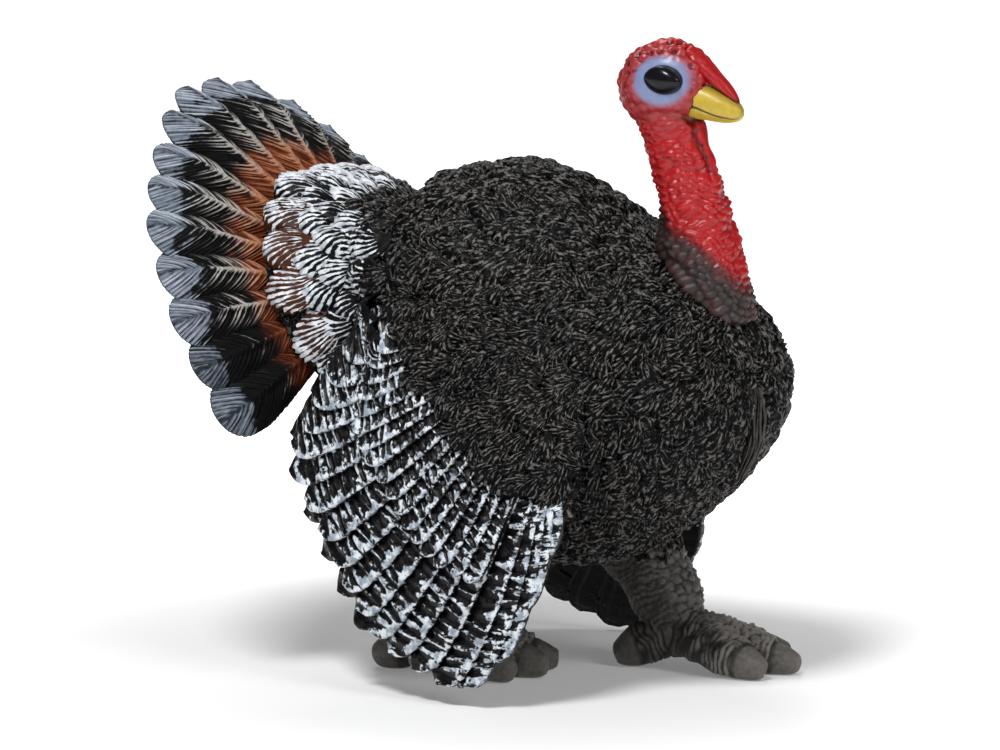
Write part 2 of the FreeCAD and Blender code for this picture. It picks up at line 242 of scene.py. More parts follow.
def black_feather_material():
    s = Shader("black_feather_paint")
    relief, along, across, seed = s.paint()
    fine = s.noise(3.0)
    barbs = s.strokes(seed * 30.0 + along, across, 3.6, 21.0)
    # Thin wandering lines, painted as highlights and also raised in the bump.
    highlight_squiggle = s.ramp(abs(s.noise(1.3, 2.0) - 0.5), 0.0, 0.055, 1.0, 0.0)
    # The ridges get a lighter grey, partly dry-brushed paint and partly a painted highlight; the near-black
    # grooves are partly the black paint and partly painted shade.
    base = s.mix(s.noise(0.10, 2.0), (0.0009, 0.0009, 0.0010), (0.0022, 0.0018, 0.0016))
    lighter_on_ridges = s.mix(s.noise(0.16, 2.0), (0.112, 0.116, 0.117), (0.225, 0.204, 0.188))
    ridge = relief * 0.55 + (barbs - 0.5) * 2.2 + (fine - 0.5) * 1.3 + highlight_squiggle * 0.20
    colour = s.mix(s.ramp(ridge, 0.39, 0.88), base, lighter_on_ridges)
    height = fine * 0.7 + highlight_squiggle * 0.3 + barbs * 1.4
    roughness = s.ramp(s.noise(1.3), 0.3, 0.7, 0.26, 0.46)
    return s.finish(colour, roughness, s.bump(height, 0.8, 0.15), specular=0.08)


def fan_material():
    """Rust, then black with cream strokes along the shaft, then blue-grey at the tip."""
    s = Shader("tail_fan_paint")
    relief, along, across, row = s.paint()
    fine = s.noise(2.6)
    patch = s.noise(0.5, 3.0)
    streak = s.strokes(row, across, 60.0, 4.0)
    ridge = relief + (streak - 0.5) * 0.9 + (fine - 0.5) * 0.3
    reach = along + (patch - 0.5) * 0.22
    off_shaft = abs((across - 0.5) * 2.0)
    rust = s.mix(s.ramp(ridge, 0.15, 0.75), (0.050, 0.010, 0.004), (0.34, 0.088, 0.029))
    # Rust darkens to near black towards each feather's edges: painted shade in the valleys between
    # neighbouring feathers.
    rust = s.mix(s.ramp(off_shaft, 0.40, 0.90) * 0.85, rust, (0.016, 0.005, 0.003))
    black = s.mix(s.ramp(ridge, 0.6, 1.1), (0.002, 0.002, 0.0025), (0.016, 0.015, 0.014))
    dark = s.mix(s.ramp(reach, 0.52, 0.64), rust, black)
    cream = s.mix(s.ramp(reach, 0.42, 0.75), (0.42, 0.19, 0.09), (0.47, 0.46, 0.43))
    strokes = s.ramp(ridge, 0.46, 0.72) * s.ramp(off_shaft, 0.66, 0.22)
    lighter_on_ridges = s.mix(strokes * 0.85, dark, cream)
    blue = s.mix(s.ramp(ridge, 0.35, 1.05), (0.16, 0.19, 0.235), (0.52, 0.57, 0.64))
    blue = s.mix(s.ramp(ridge, 0.05, 0.45), (0.018, 0.021, 0.027), blue)
    cover = s.ramp(reach, 0.70, 0.98) + ridge * 0.50 - off_shaft * 0.12
    colour = s.mix(s.ramp(cover, 0.72, 0.92), lighter_on_ridges, blue)
    return s.finish(colour, s.ramp(fine, 0.3, 0.7, 0.36, 0.56), s.bump(ridge, 0.5, 0.10), specular=0.08)


def covert_material():
    s = Shader("tail_covert_paint")
    relief, along, brown, seed = s.paint()
    fine = s.noise(2.2)
    patch = s.noise(0.5, 3.0)
    ridge = relief + (fine - 0.5) * 0.7 + (patch - 0.5) * 0.7 + (seed - 0.5) * 0.30
    # Less white towards each scale's root, where it tucks under the row above: partly unbrushed black paint
    # and partly painted shade.
    ridge = ridge - s.ramp(along, 0.5, 0.2, 0.0, 0.35)
    tips = s.ramp(along, 0.66, 0.94) * 0.36
    cover = ridge + tips * s.ramp(relief, 0.0, 0.12)
    groove = s.mix(brown, (0.003, 0.003, 0.0035), (0.075, 0.024, 0.011))
    white = s.mix(s.ramp(s.noise(1.0, 3.0), 0.36, 0.62), (0.38, 0.41, 0.46), (0.76, 0.79, 0.83))
    colour = s.mix(s.ramp(cover, 0.63, 0.77), groove, white)
    return s.finish(colour, s.ramp(fine, 0.3, 0.7, 0.38, 0.56), s.bump(fine, 0.4, 0.10), specular=0.12)


def wing_material():
    s = Shader("wing_paint")
    relief, _, across, row = s.paint()
    fine = s.noise(2.4)
    patch = s.noise(0.45, 3.0)
    streak = s.strokes(row, across, 75.0, 2.6)
    ridge = relief + (streak - 0.5) * 1.15 + s.ramp(s.noise(1.5, 3.0), 0.60, 0.72, 0.0, 0.30)
    ridge = ridge + (fine - 0.5) * 0.75 + (patch - 0.5) * 0.70
    white = s.mix(s.ramp(s.noise(1.2, 3.0), 0.36, 0.62), (0.27, 0.32, 0.38), (0.72, 0.77, 0.82))
    # The black lightens a little on raised barbs: a faint painted highlight.
    black = s.mix(s.ramp(ridge, 0.2, 0.6), (0.002, 0.002, 0.003), (0.012, 0.011, 0.011))
    colour = s.mix(s.ramp(ridge, 0.56, 0.68), black, white)
    relief_bump = s.bump(streak + fine * 0.5, 0.7, 0.14)
    return s.finish(colour, s.ramp(fine, 0.3, 0.7, 0.24, 0.44), relief_bump, specular=0.24)


def skin_material():
    s = Shader("bare_skin_paint")
    relief, ring, dark, lid = s.paint()
    fine = s.noise(1.8)
    grain = (fine - 0.5) * 0.35
    red = s.mix(s.noise(0.35, 3.0), (0.23, 0.002, 0.004), (0.45, 0.006, 0.009))
    salmon = s.mix(fine, (0.22, 0.014, 0.017), (0.34, 0.038, 0.044))
    colour = s.mix(s.ramp(ring, 0.02, 0.42) * 0.75, red, salmon)
    # Low relief in the creases between lumps, in the pits, in the dewlap groove and round the beak and snood
    # turns dark red, then near black: painted shade in those creases.
    crease = relief + grain
    colour = s.mix(s.ramp(crease, 0.62, 0.22), colour, (0.12, 0.002, 0.003))
    colour = s.mix(s.ramp(crease, 0.16, 0.0), colour, (0.03, 0.003, 0.004))
    blue = s.mix(fine, (0.148, 0.190, 0.355), (0.21, 0.265, 0.425))
    colour = s.mix(s.ramp(ring + (s.noise(3.5) - 0.5) * 0.05, 0.53, 0.67), colour, blue)
    # A dark ring where the skin meets the eye: painted shade in that crease.
    colour = s.mix(s.ramp(lid, 0.55, 0.2), colour, (0.01, 0.01, 0.025))
    # The neck base's dusty brown goes near black where relief is low between its knobs: painted shade between
    # them.
    dusty = s.mix(s.ramp(relief, 0.4, 0.95), (0.003, 0.002, 0.002), (0.034, 0.021, 0.019))
    dusty = s.mix(s.ramp(s.noise(0.5, 3.0), 0.46, 0.70), dusty, (0.050, 0.014, 0.012))
    darkness = dark + grain
    colour = s.mix(s.ramp(darkness, 0.06, 0.48), colour, (0.085, 0.006, 0.006))
    shade = s.ramp(darkness, 0.34, 0.80)
    colour = s.mix(shade, colour, dusty)
    roughness = s.ramp(fine, 0.3, 0.7, 0.30, 0.46) + shade * 0.16
    return s.finish(colour, roughness, s.bump(fine, 0.3, 0.12), specular=0.40)


def beak_material():
    s = Shader("beak_paint")
    mouth, along, up, _ = s.paint()
    fine = s.noise(1.2, 4.0)
    horn = s.mix(fine, (0.34, 0.225, 0.014), (0.56, 0.42, 0.040))
    colour = s.mix(s.ramp(up, 0.75, 1.0) * 0.55, horn, (0.22, 0.13, 0.01))
    # A dark line along the mouth: painted shade in the mouth groove.
    colour = s.mix(s.ramp(mouth, 0.75, 0.2), colour, (0.03, 0.012, 0.006))
    colour = s.mix(s.ramp(along, 0.8, 1.0) * 0.45, colour, (0.20, 0.12, 0.01))
    return s.finish(colour, s.ramp(fine, 0.3, 0.7, 0.36, 0.5), s.bump(fine, 0.2, 0.1), coat=0.1)


def eye_material():
    s = Shader("eye_gloss")
    fine = s.noise(2.0)
    colour = s.mix(fine, (0.002, 0.002, 0.003), (0.006, 0.006, 0.009))
    return s.finish(colour, 0.30, s.bump(fine, 0.05, 0.05), specular=0.10, coat=0.26, coat_roughness=0.04)


def leg_material():
    s = Shader("leg_paint")
    relief, claw, _, toe = s.paint()
    fine = s.noise(2.2)
    patch = s.noise(0.3, 3.0)
    low = s.mix(patch, (0.010, 0.010, 0.009), (0.018, 0.013, 0.011))
    high = s.mix(patch, (0.080, 0.082, 0.074), (0.130, 0.116, 0.102))
    ridge = relief + (fine - 0.5) * 0.6
    colour = s.mix(s.ramp(ridge, 0.25, 0.95), low, high)
    dusty = s.mix(s.ramp(ridge, 0.15, 0.85), (0.020, 0.018, 0.016), (0.290, 0.268, 0.242))
    colour = s.mix(toe, colour, dusty)
    horn = s.mix(fine, (0.050, 0.046, 0.042), (0.185, 0.170, 0.155))
    colour = s.mix(claw * 0.7, colour, horn)
    return s.finish(colour, s.ramp(fine, 0.3, 0.7, 0.40, 0.58), s.bump(fine, 0.45, 0.12), specular=0.25)


def beard_material():
    s = Shader("beard_paint")
    relief = s.paint()[0]
    fine = s.noise(2.5)
    # Lighter where relief is high, which is each strand's forward side: a painted highlight, with painted
    # shade behind.
    colour = s.mix(s.ramp(relief + fine, 0.7, 1.4), (0.003, 0.003, 0.003), (0.055, 0.050, 0.046))
    return s.finish(colour, 0.45, s.bump(fine, 0.3, 0.08), specular=0.2)


def floor_material():
    s = Shader("studio_floor")
    fine = s.noise(0.02, 2.0)
    away = s.node("VectorMath", {0: s.place()}, "Value", operation="LENGTH")
    glow = s.ramp(away, *FLOOR_GLOW_REACH, *FLOOR_GLOW)
    colour = s.mix(fine, (0.80, 0.80, 0.80), (0.82, 0.82, 0.82))
    return s.finish(colour, 0.6, s.bump(fine, 0.02, 0.1), specular=0.1, glow=glow)


# ---- the torso's form

# x, bottom, top, half width, as the CAD torso, with both ends closed
TORSO = [
    (-30.0, 37.6, 37.8, 0.1),
    (-28.5, 33.0, 42.5, 5.0),
    (-25.0, 25.5, 45.6, 9.0),
    (-20.0, 18.8, 48.4, 13.2),
    (-14.0, 13.8, 50.4, 16.2),
    (-7.0, 11.6, 51.2, 17.6),
    (0.0, 11.2, 49.2, 17.8),
    (6.5, 13.2, 45.2, 16.8),
    (11.6, 16.6, 41.4, 14.6),
    (15.7, 20.8, 37.8, 11.8),
    (18.1, 24.2, 34.8, 8.2),
    (19.3, 27.4, 31.8, 4.2),
    (19.6, 29.5, 29.7, 0.1),
]
GROOVE_DEPTH = 0.9
GROOVE_HALF_WIDTH = 1.5

FAN_HUB = np.array([-24.1, 0.0, 37.6])
FAN_LEAN = math.radians(28)
FAN_DROP = math.tan(math.radians(15))
FAN_LEFT = np.array([0.0, 1.0, 0.0])
FAN_UP = np.array([-math.sin(FAN_LEAN), 0.0, math.cos(FAN_LEAN)])
FAN_FRONT = np.cross(FAN_LEFT, FAN_UP)
FAN_AXES = np.stack([FAN_LEFT, FAN_UP, FAN_FRONT])
FAN_RIM = 27.0
LOBE_TOP = -12.0
LOBE_HALF_WIDTH = 9.0
CORE_BEFORE_FAN = 0.9
CORE_CENTRE_Z = 31
CORE_SINK = 0.7
NORMAL_STEP = 0.02


def to_fan(points):
    """Drawing frame to the fan's own frame: left, up the fan, out of its front."""
    return (points - FAN_HUB) @ FAN_AXES.T


def from_fan(points):
    return FAN_HUB + points @ FAN_AXES


def torso_form(t, phi):
    """A point on the torso: t is the fractional row of TORSO, phi the angle round from the top."""
    row = catmull(TORSO, t)
    x, bottom, top, half_width = row[..., 0], row[..., 1], row[..., 2], np.abs(row[..., 3])
    y = half_width * np.sin(phi)
    z = (top + bottom) / 2 + (top - bottom) / 2 * np.cos(phi)
    groove = bell(y, 0, GROOVE_HALF_WIDTH) * smoothstep(9, 17, x) * smoothstep(43, 36, z)
    return np.stack([x - GROOVE_DEPTH * groove, y, z], -1)


def torso_cross(t, phi):
    """The torso's outward normal, as long as the area that a step of t and phi covers."""
    du = torso_form(t + NORMAL_STEP, phi) - torso_form(t - NORMAL_STEP, phi)
    dv = torso_form(t, phi + NORMAL_STEP) - torso_form(t, phi - NORMAL_STEP)
    return np.cross(du, dv)


def back_slump(points):
    """How much lower the feathered back lies than the plain torso, before the neck and the fan."""
    x, z = points[:, 0], points[:, 2]
    before_neck = 0.75 * smoothstep(-5, 7, x) * smoothstep(37, 43, z)
    before_fan = 2.0 * smoothstep(-14, -22, x) * smoothstep(40, 45, z)
    return 0.30 * smoothstep(42, 49, z) + before_neck + before_fan


def behind_fan(points):
    """How far the points lie behind a plane before the fan, but zero below the fan's hub."""
    local = to_fan(points)
    lobe = (local[..., 1] < LOBE_TOP) & (np.abs(local[..., 0]) < LOBE_HALF_WIDTH)
    return np.where(lobe, 0.0, np.maximum(CORE_BEFORE_FAN - local[..., 2], 0.0))


def torso_core(material):
    """The dark body under the feathers, cut off square where the fan begins."""
    rows, columns = 160, 180
    t, phi = round_grid(np.linspace(0.02, len(TORSO) - 1.02, rows), columns)
    points = torso_form(t, phi).reshape(-1, 3)
    points = points + FAN_FRONT * behind_fan(points)[:, None]
    inward = unit(points - [0, 0, CORE_CENTRE_Z])
    points = points - inward * (CORE_SINK + back_slump(points))[:, None]
    part = (points, grid_faces(rows, columns, closed=True), even_paint(points, 0.2))
    add_piece("torso_core", [part], "torso_shell_right", material)


# ---- small scale feathers

BENDS = (-0.12, -0.07, -0.02, 0.03, 0.08, 0.13)
BARB_WANDER = 0.012
BARB_SPREAD = np.radians(122)
WALL_DEPTH = 0.75
SIDE_DROOP = 0.09


def scale_templates(barbs, rows, fringe, first_seed):
    return [scale_template(barbs, rows, fringe, bend, first_seed + i) for i, bend in enumerate(BENDS)]


def scale_template(barbs, rows, fringe, bend, seed):
    """A round feather one unit long and wide: its barbs fan out from the root to a fringed edge."""
    local = np.random.default_rng(seed)
    columns = barbs * 2 + 1
    s = np.linspace(-1, 1, columns)
    ridge = (np.arange(columns) % 2 == 1).astype(float)
    angle = BARB_SPREAD * s
    barb_reach = 1 + fringe * (ridge - 0.5) + local.normal(0, 0.035, columns)
    edge = np.stack([0.5 * np.sin(angle) * barb_reach, 0.5 + 0.5 * np.cos(angle) * barb_reach], 1)
    root = np.stack([0.16 * s, np.full(columns, 0.02)], 1)
    t = np.append(np.linspace(0, 1, rows) ** 0.8, 1.03)
    xy = root[None] + (edge - root)[None] * t[:, None, None]
    xy[1:-2] += local.normal(0, BARB_WANDER, (len(t) - 3, columns, 2))
    xy[..., 0] += bend * np.sin(math.pi * np.clip(t, 0, 1))[:, None]
    radius = np.hypot(xy[..., 0], xy[..., 1] - 0.5) * 2
    crown = 1 - np.clip(radius, 0, 1.15) ** 2.6
    depth = local.uniform(0.35, 1.45, (len(t), columns))
    groove = (ridge - 0.5)[None] * smoothstep(0.12, 0.45, t)[:, None] * depth
    wall = np.zeros_like(radius)
    wall[-1] = 1.0
    # The wall down from each scale's edge gets relief 0, the darkest colour of every material: a painted
    # shadow under the edge.
    relief = np.where(wall > 0, 0.0, np.clip(0.5 + 0.90 * groove + 0.12 * crown, 0, 1))
    barb = np.broadcast_to((s + 1) / 2, radius.shape)
    fields = {"x": xy[..., 0], "y": xy[..., 1], "barb": barb, "crown": crown, "groove": groove}
    fields |= {"wall": wall, "relief": relief}
    template = {name: values.ravel() for name, values in fields.items()}
    template["faces"] = grid_faces(len(t), columns)
    return template


def stamp_scales(templates, places, alongs, normals, length, width, lift, crown, groove, sink, across=None):
    """Stamps one scale feather at each place, pointing along its direction. Sizes are arrays."""
    sides = unit(np.cross(alongs, normals))
    parts = []
    choice = rng.integers(0, len(templates), len(places))
    for number, template in enumerate(templates):
        k = np.flatnonzero(choice == number)
        if not len(k):
            continue
        x = template["x"][None] * width[k, None]
        y = (template["y"][None] - 0.5) * length[k, None]
        z = -sink + (sink + lift[k, None]) * template["y"][None]
        z = z + crown * template["crown"][None] + groove * template["groove"][None]
        z = z - (lift[k, None] + WALL_DEPTH) * template["wall"][None]
        z = z - SIDE_DROOP * x**2 / np.maximum(width[k, None] / 3, 0.5)
        points = places[k, None] + sides[k, None] * x[..., None] + alongs[k, None] * y[..., None]
        points = points + normals[k, None] * z[..., None]
        count = len(template["x"])
        faces = template["faces"][None] + (np.arange(len(k)) * count)[:, None, None]
        paint = np.empty((len(k), count, 4))
        paint[..., 0] = template["relief"]
        paint[..., 1] = template["y"]
        paint[..., 2] = template["barb"][None] if across is None else across[k, None]
        paint[..., 3] = rng.uniform(0, 1, len(k))[:, None]
        parts.append((points.reshape(-1, 3), faces.reshape(-1, 4), paint.reshape(-1, 4)))
    return parts


def scatter(points, spacing):
    """Keeps points, in their given order, that are at least spacing away from those kept before."""
    kept = []
    cells = {}
    steps = [(dx, dy, dz) for dx in (-1, 0, 1) for dy in (-1, 0, 1) for dz in (-1, 0, 1)]
    for i, p in enumerate(points):
        x, y, z = np.floor(p / spacing).astype(int)
        near = (j for dx, dy, dz in steps for j in cells.get((x + dx, y + dy, z + dz), ()))
        if all(np.sum((points[j] - p) ** 2) >= spacing**2 for j in near):
            kept.append(i)
            cells.setdefault((x, y, z), []).append(i)
    return np.array(kept)


def thin_out(points, normals, spacing):
    kept = scatter(points, spacing)
    return points[kept], normals[kept]


def tangent(vectors, normals):
    return unit(vectors - normals * np.sum(vectors * normals, -1, keepdims=True))


def turned_in_plane(alongs, normals, degrees_spread):
    angle = rng.normal(0, math.radians(degrees_spread), len(alongs))[:, None]
    return alongs * np.cos(angle) + np.cross(normals, alongs) * np.sin(angle)


def torso_samples(count):
    """Random points on the torso, roughly even by area, with their normals."""
    t = rng.uniform(0.3, len(TORSO) - 1.05, count * 3)
    phi = rng.uniform(-math.pi, math.pi, count * 3)
    area = np.linalg.norm(torso_cross(t, phi), axis=-1)
    keep = np.flatnonzero(rng.uniform(0, np.quantile(area, 0.98), len(area)) < area)[:count]
    return torso_form(t[keep], phi[keep]), unit(torso_cross(t[keep], phi[keep]))


RUMP_REACH = 7.6
RUMP_REACH_HIGH = 3.0
NECK_X = 12.8
NECK_GAP = 2.7
BODY_SINK = 0.55
BODY_SPACING = 1.40
BODY_LENGTH = 3.0
BODY_WIDTH = 2.75


def rump_reach(points):
    """How far before the fan the black feathers begin, nearer to it high up; in the fan's frame."""
    nearer = (RUMP_REACH - RUMP_REACH_HIGH) * smoothstep(2.0, 7.8, to_fan(points)[:, 1])
    return RUMP_REACH - nearer + 0.8 * wobble(points, 3.0, 5)


def body_feathers(material, templates):
    points, normals = torso_samples(30000)
    local = to_fan(points)
    in_lobe = local[:, 1] < LOBE_TOP + 1
    front = (local[:, 2] > np.maximum(rump_reach(points) - 3.5, 1.6)) | (in_lobe & (points[:, 2] > 12))
    in_neck = (np.hypot(points[:, 0] - NECK_X, points[:, 1]) <= NECK_GAP) & (points[:, 2] > 34)
    keep = front & ~in_neck
    points, normals = points[keep], normals[keep]
    points = points - normals * (BODY_SINK + back_slump(points))[:, None]
    points, normals = thin_out(points, normals, BODY_SPACING)
    flow = np.tile([-1.0, 0.0, -0.62], (len(points), 1))
    flow[:, 2] -= 0.55 * smoothstep(2, 14, points[:, 0])
    alongs = turned_in_plane(tangent(flow, normals), normals, 30)
    size = rng.uniform(0.8, 1.2, len(points)) * (1 + 0.12 * wobble(points, 7.0, 2))
    size = size * (1 + 0.12 * smoothstep(6, 13, points[:, 0]))
    lift = rng.uniform(0.2, 0.65, len(points))
    parts = stamp_scales(
        templates, points, alongs, normals, BODY_LENGTH * size, BODY_WIDTH * size, lift,
        crown=0.60, groove=0.40, sink=0.5,
    )
    for number, part in enumerate(parts):
        add_piece(f"torso_feathers_{number + 1}", [part], "torso_shell_left", material)


# ---- long feathers (quills)


def quill(place, length, half_width, barb, slant, shape, root_share, thickness, seed, bright=1.0):
    """A closed long feather. place maps local (across, along, height) in mm to the drawing frame.

    Each barb is four rows of the grid: it leaves the shaft, bends towards the tip and ends on the
    outline. shape gives the shaft's height, the crown's height, the barbs' height and the droop.
    """
    local = np.random.default_rng(seed)
    shaft, crown, barb_height, droop = shape
    barbs = int(length / barb)
    v = np.linspace(0, 1, barbs * 4 + 1)
    bunching = np.interp(v, np.linspace(0, 1, barbs + 1), local.uniform(-0.4, 0.4, barbs + 1))
    v = v + bunching / barbs * smoothstep(0, 0.1, v) * smoothstep(1, 0.93, v)
    end_x, end_y = outline_ends(v, length, half_width, slant, root_share)
    u = np.linspace(-1, 1, 17)
    t = np.abs(u)[None]
    number = np.arange(len(v)) // 4
    strength = local.uniform(0.25, 1.0, (number.max() + 1, 2))[number]
    strength = np.where(u[None] < 0, strength[:, :1], strength[:, 1:])
    ridge = (0.5 + 0.5 * np.cos(np.arange(len(v)) * math.pi / 2))[:, None] * strength
    fringe = 1 + 0.04 * (ridge - 0.3) * t**3
    start_y = v[:, None] * length * 0.985
    x = np.sign(u)[None] * end_x[:, None] * t * fringe
    y = start_y + (end_y[:, None] - start_y) * t**1.3 * fringe
    along = y / length
    rounding = (1 - t**2.2) * (1 - 0.75 * smoothstep(0.78, 1.0, along))
    shaft_line = bell(x, 0, 0.26) * (1 - smoothstep(0.70, 0.95, along))
    away = 1 - bell(x, 0, 0.3)
    base = crown * rounding - droop * t**3
    top = base + shaft * shaft_line + barb_height * (ridge - 0.4) * away
    under = base - thickness * (0.5 + 0.5 * (1 - t**3)) * (1 - 0.5 * smoothstep(0.8, 1, along))
    under = under - 0.4 * shaft * shaft_line - 0.4 * barb_height * ridge * away * (1 - t**3)
    relief = np.clip(0.16 + 0.80 * ridge * away + 0.62 * shaft_line, 0, 1) * bright
    return quill_mesh(place, x, y, top, under, relief, along, u, seed + v)


def outline_ends(v, length, half_width, slant, root_share):
    """Where on a feather's outline each barb ends: v is 0 for the first barb and 1 for the last."""
    shoulder = length - half_width * 1.2
    side_y = np.linspace(0, shoulder, 60)
    side_x = half_width * (root_share + (1 - root_share) * smoothstep(0, shoulder, side_y))
    turn = np.linspace(0, math.pi / 2, 60)[1:]
    outline_x = np.append(side_x, half_width * np.cos(turn) ** 0.9)
    outline_y = np.append(side_y, shoulder + (length - shoulder) * np.sin(turn))
    reach = np.append(0, np.cumsum(np.hypot(np.diff(outline_x), np.diff(outline_y))))
    ends = v * reach[-1] + slant * half_width * (1 - v)
    return np.interp(ends, reach, outline_x), np.interp(ends, reach, outline_y)


def quill_mesh(place, x, y, top, under, relief, along, u, row):
    """Closes a feather's upper and under side, painted with relief, along, across and row."""
    rows, columns = x.shape
    upper = place(x, y, top).reshape(-1, 3)
    lower = place(x, y, under).reshape(-1, 3)
    faces = grid_faces(rows, columns)
    rim = boundary(rows, columns)
    following = np.roll(rim, -1)
    under_side = rows * columns
    walls = np.stack([rim, rim + under_side, following + under_side, following], 1)
    all_faces = np.vstack([faces[:, ::-1], faces + under_side, walls[:, ::-1]])
    paint = np.zeros((2, rows, columns, 4))
    paint[0, ..., 0] = relief
    paint[1, ..., 0] = 0.12
    paint[..., 1] = along
    paint[..., 2] = (u + 1) / 2
    paint[..., 3] = row[:, None]
    return np.vstack([upper, lower]), all_faces, paint.reshape(-1, 4)


def boundary(rows, columns):
    """The grid's edge vertices in order round it."""
    first = np.arange(columns)
    right = np.arange(1, rows) * columns + columns - 1
    last = (rows - 1) * columns + np.arange(columns - 2, -1, -1)
    left = np.arange(rows - 2, 0, -1) * columns
    return np.concatenate([first, right, last, left])


# ---- tail fan

FAN_FEATHERS = 19
FAN_HALF_SPREAD = math.radians(109)
FAN_START = 5.0
FAN_HALF_WIDTH = 3.35
# heights of the shaft, the crown and the barbs, and the droop of the edges
FAN_SHAPE = (0.40, 1.50, 0.36, 0.60)


def fan_place(angle, base, tilt):
    """Maps a fan feather's own coordinates onto the dish, its shaft at the given angle."""

    def place(x, y, z):
        r = y + FAN_START
        across = x * math.cos(angle) + r * math.sin(angle)
        up = r * math.cos(angle) - x * math.sin(angle)
        height = -FAN_DROP * np.hypot(across, up) + base + z + tilt * x
        return from_fan(np.stack([across, up, height], -1))

    return place


def tail_fan(material):
    parts = []
    for i in range(FAN_FEATHERS):
        share = 2 * i / (FAN_FEATHERS - 1) - 1
        angle = share * FAN_HALF_SPREAD + rng.normal(0, 0.012)
        length = FAN_RIM - FAN_START - 1.35 + 2.4 * max(math.cos(angle), 0) ** 6 + rng.uniform(-0.3, 0.3)
        place = fan_place(angle, -0.95 - 0.25 * (1 - abs(share)), 0.09 * np.sign(share))
        bright = 1.0 - 0.46 * smoothstep(0.74, 0.92, abs(share)) - 0.22 * smoothstep(0.10, 0.30, share)
        parts.append(quill(place, length, FAN_HALF_WIDTH, 0.50, 1.5, FAN_SHAPE, 0.40, 0.85, 100 + i, bright))
    half = len(parts) // 2
    for side, chosen in (("right", parts[:half]), ("left", parts[half:])):
        add_piece(f"tail_feathers_{side}", chosen, "tail_fan", material)


# ---- tail coverts

COVERT_RINGS = [
    # arc length from the rim, feathers round the circle, length, width
    (3.9, 21, 6.2, 4.9),
    (6.3, 22, 4.4, 4.2),
    (8.2, 21, 4.2, 4.0),
    (10.1, 21, 4.2, 4.1),
    (12.0, 23, 4.0, 3.9),
    (13.6, 24, 3.8, 3.7),
    (15.0, 24, 3.4, 3.5),
    (16.2, 24, 3.2, 3.4),
    (17.4, 23, 3.2, 3.2),
]
COVERT_RIM_RADIUS = 15.6
COVERT_TOP_Z = 9.2
COVERT_OVERLAP = 0.8
COVERT_TOP_SINK = 5.0
COVERT_RIM_DROP = 2.8
COVERT_RIM_SPREAD = 1.1
COVERT_LEAST_RADIUS = 5.6
COVERT_BARE_HALF_ANGLE = 0.55
ARC_STEP = 0.4


def fan_direction(angle):
    """Outward in the fan's own plane, at an angle from its top."""
    return np.array([math.sin(angle), math.cos(angle), 0.0])


def covert_profile(tree, angle):
    """Points up the collar's outside at one angle, in the fan's frame, from the rim to the back."""
    top = max(math.cos(angle), 0) ** 2
    rim = COVERT_RIM_RADIUS - COVERT_RIM_DROP * top + COVERT_RIM_SPREAD * math.sin(angle) ** 2
    rows = [(rim, -rim * FAN_DROP + 0.9)]
    toward = fan_direction(angle)
    for z in np.arange(-3.0, COVERT_TOP_Z, 0.4):
        hit = tree.ray_cast(Vector(from_fan(toward * 26 + [0, 0, z])), Vector(-toward @ FAN_AXES), 24)[0]
        if hit:
            radius = np.hypot(*to_fan(np.array(hit))[:2])
            rows.append((min(radius, rows[-1][0]) if z < 6 else radius, z))
    rows = np.array(rows)
    sunk = rows[:, 0] - COVERT_TOP_SINK * top * smoothstep(-2.0, 6.0, rows[:, 1])
    rows[:, 0] = np.maximum(sunk, np.minimum(rows[:, 0], COVERT_LEAST_RADIUS))
    kernel = np.array([1, 2, 3, 2, 1]) / 9
    rows[:, 0] = np.convolve(np.pad(rows[:, 0], 2, mode="edge"), kernel, "valid")
    return rows


def on_profile(rows, arc):
    """Radius, height and outward direction of the profile at an arc length from the rim."""
    steps = np.hypot(*np.diff(rows, axis=0).T)
    reach = np.concatenate([[0], np.cumsum(steps)])
    near = [arc - ARC_STEP, arc, arc + ARC_STEP]
    r, z = (np.interp(near, reach, rows[:, k]) for k in (0, 1))
    return r[1], z[1], unit(np.array([r[0] - r[2], z[0] - z[2]]))


def covert_ring(tree, ring, arc, count):
    """One ring's places, directions, normals, how brown each feather is and which are black."""
    spots = []
    for i in range(count):
        angle = 2 * math.pi * (i + 0.5 * (ring % 2)) / count + rng.normal(0, 0.03)
        profile = covert_profile(tree, angle)
        r, z, out = on_profile(profile, arc + rng.normal(0, 0.15))
        if r * math.cos(angle) < LOBE_TOP + 1.0 or abs(angle - math.pi) < COVERT_BARE_HALF_ANGLE:
            continue
        toward = fan_direction(angle)
        place = from_fan(toward * r + [0, 0, z])
        along = (toward * out[0] + [0, 0, out[1]]) @ FAN_AXES
        normal = ([0, 0, out[0]] - toward * out[1]) @ FAN_AXES
        from_top = math.pi - abs(angle % (2 * math.pi) - math.pi)
        brown = smoothstep(0.6, 1.1, from_top) * smoothstep(2.2, 1.6, from_top) * (ring == 0)
        black = z > rump_reach(place[None])[0] + COVERT_OVERLAP
        spots.append((place, along, normal, brown, black))
    return [np.array(column) for column in zip(*spots)]


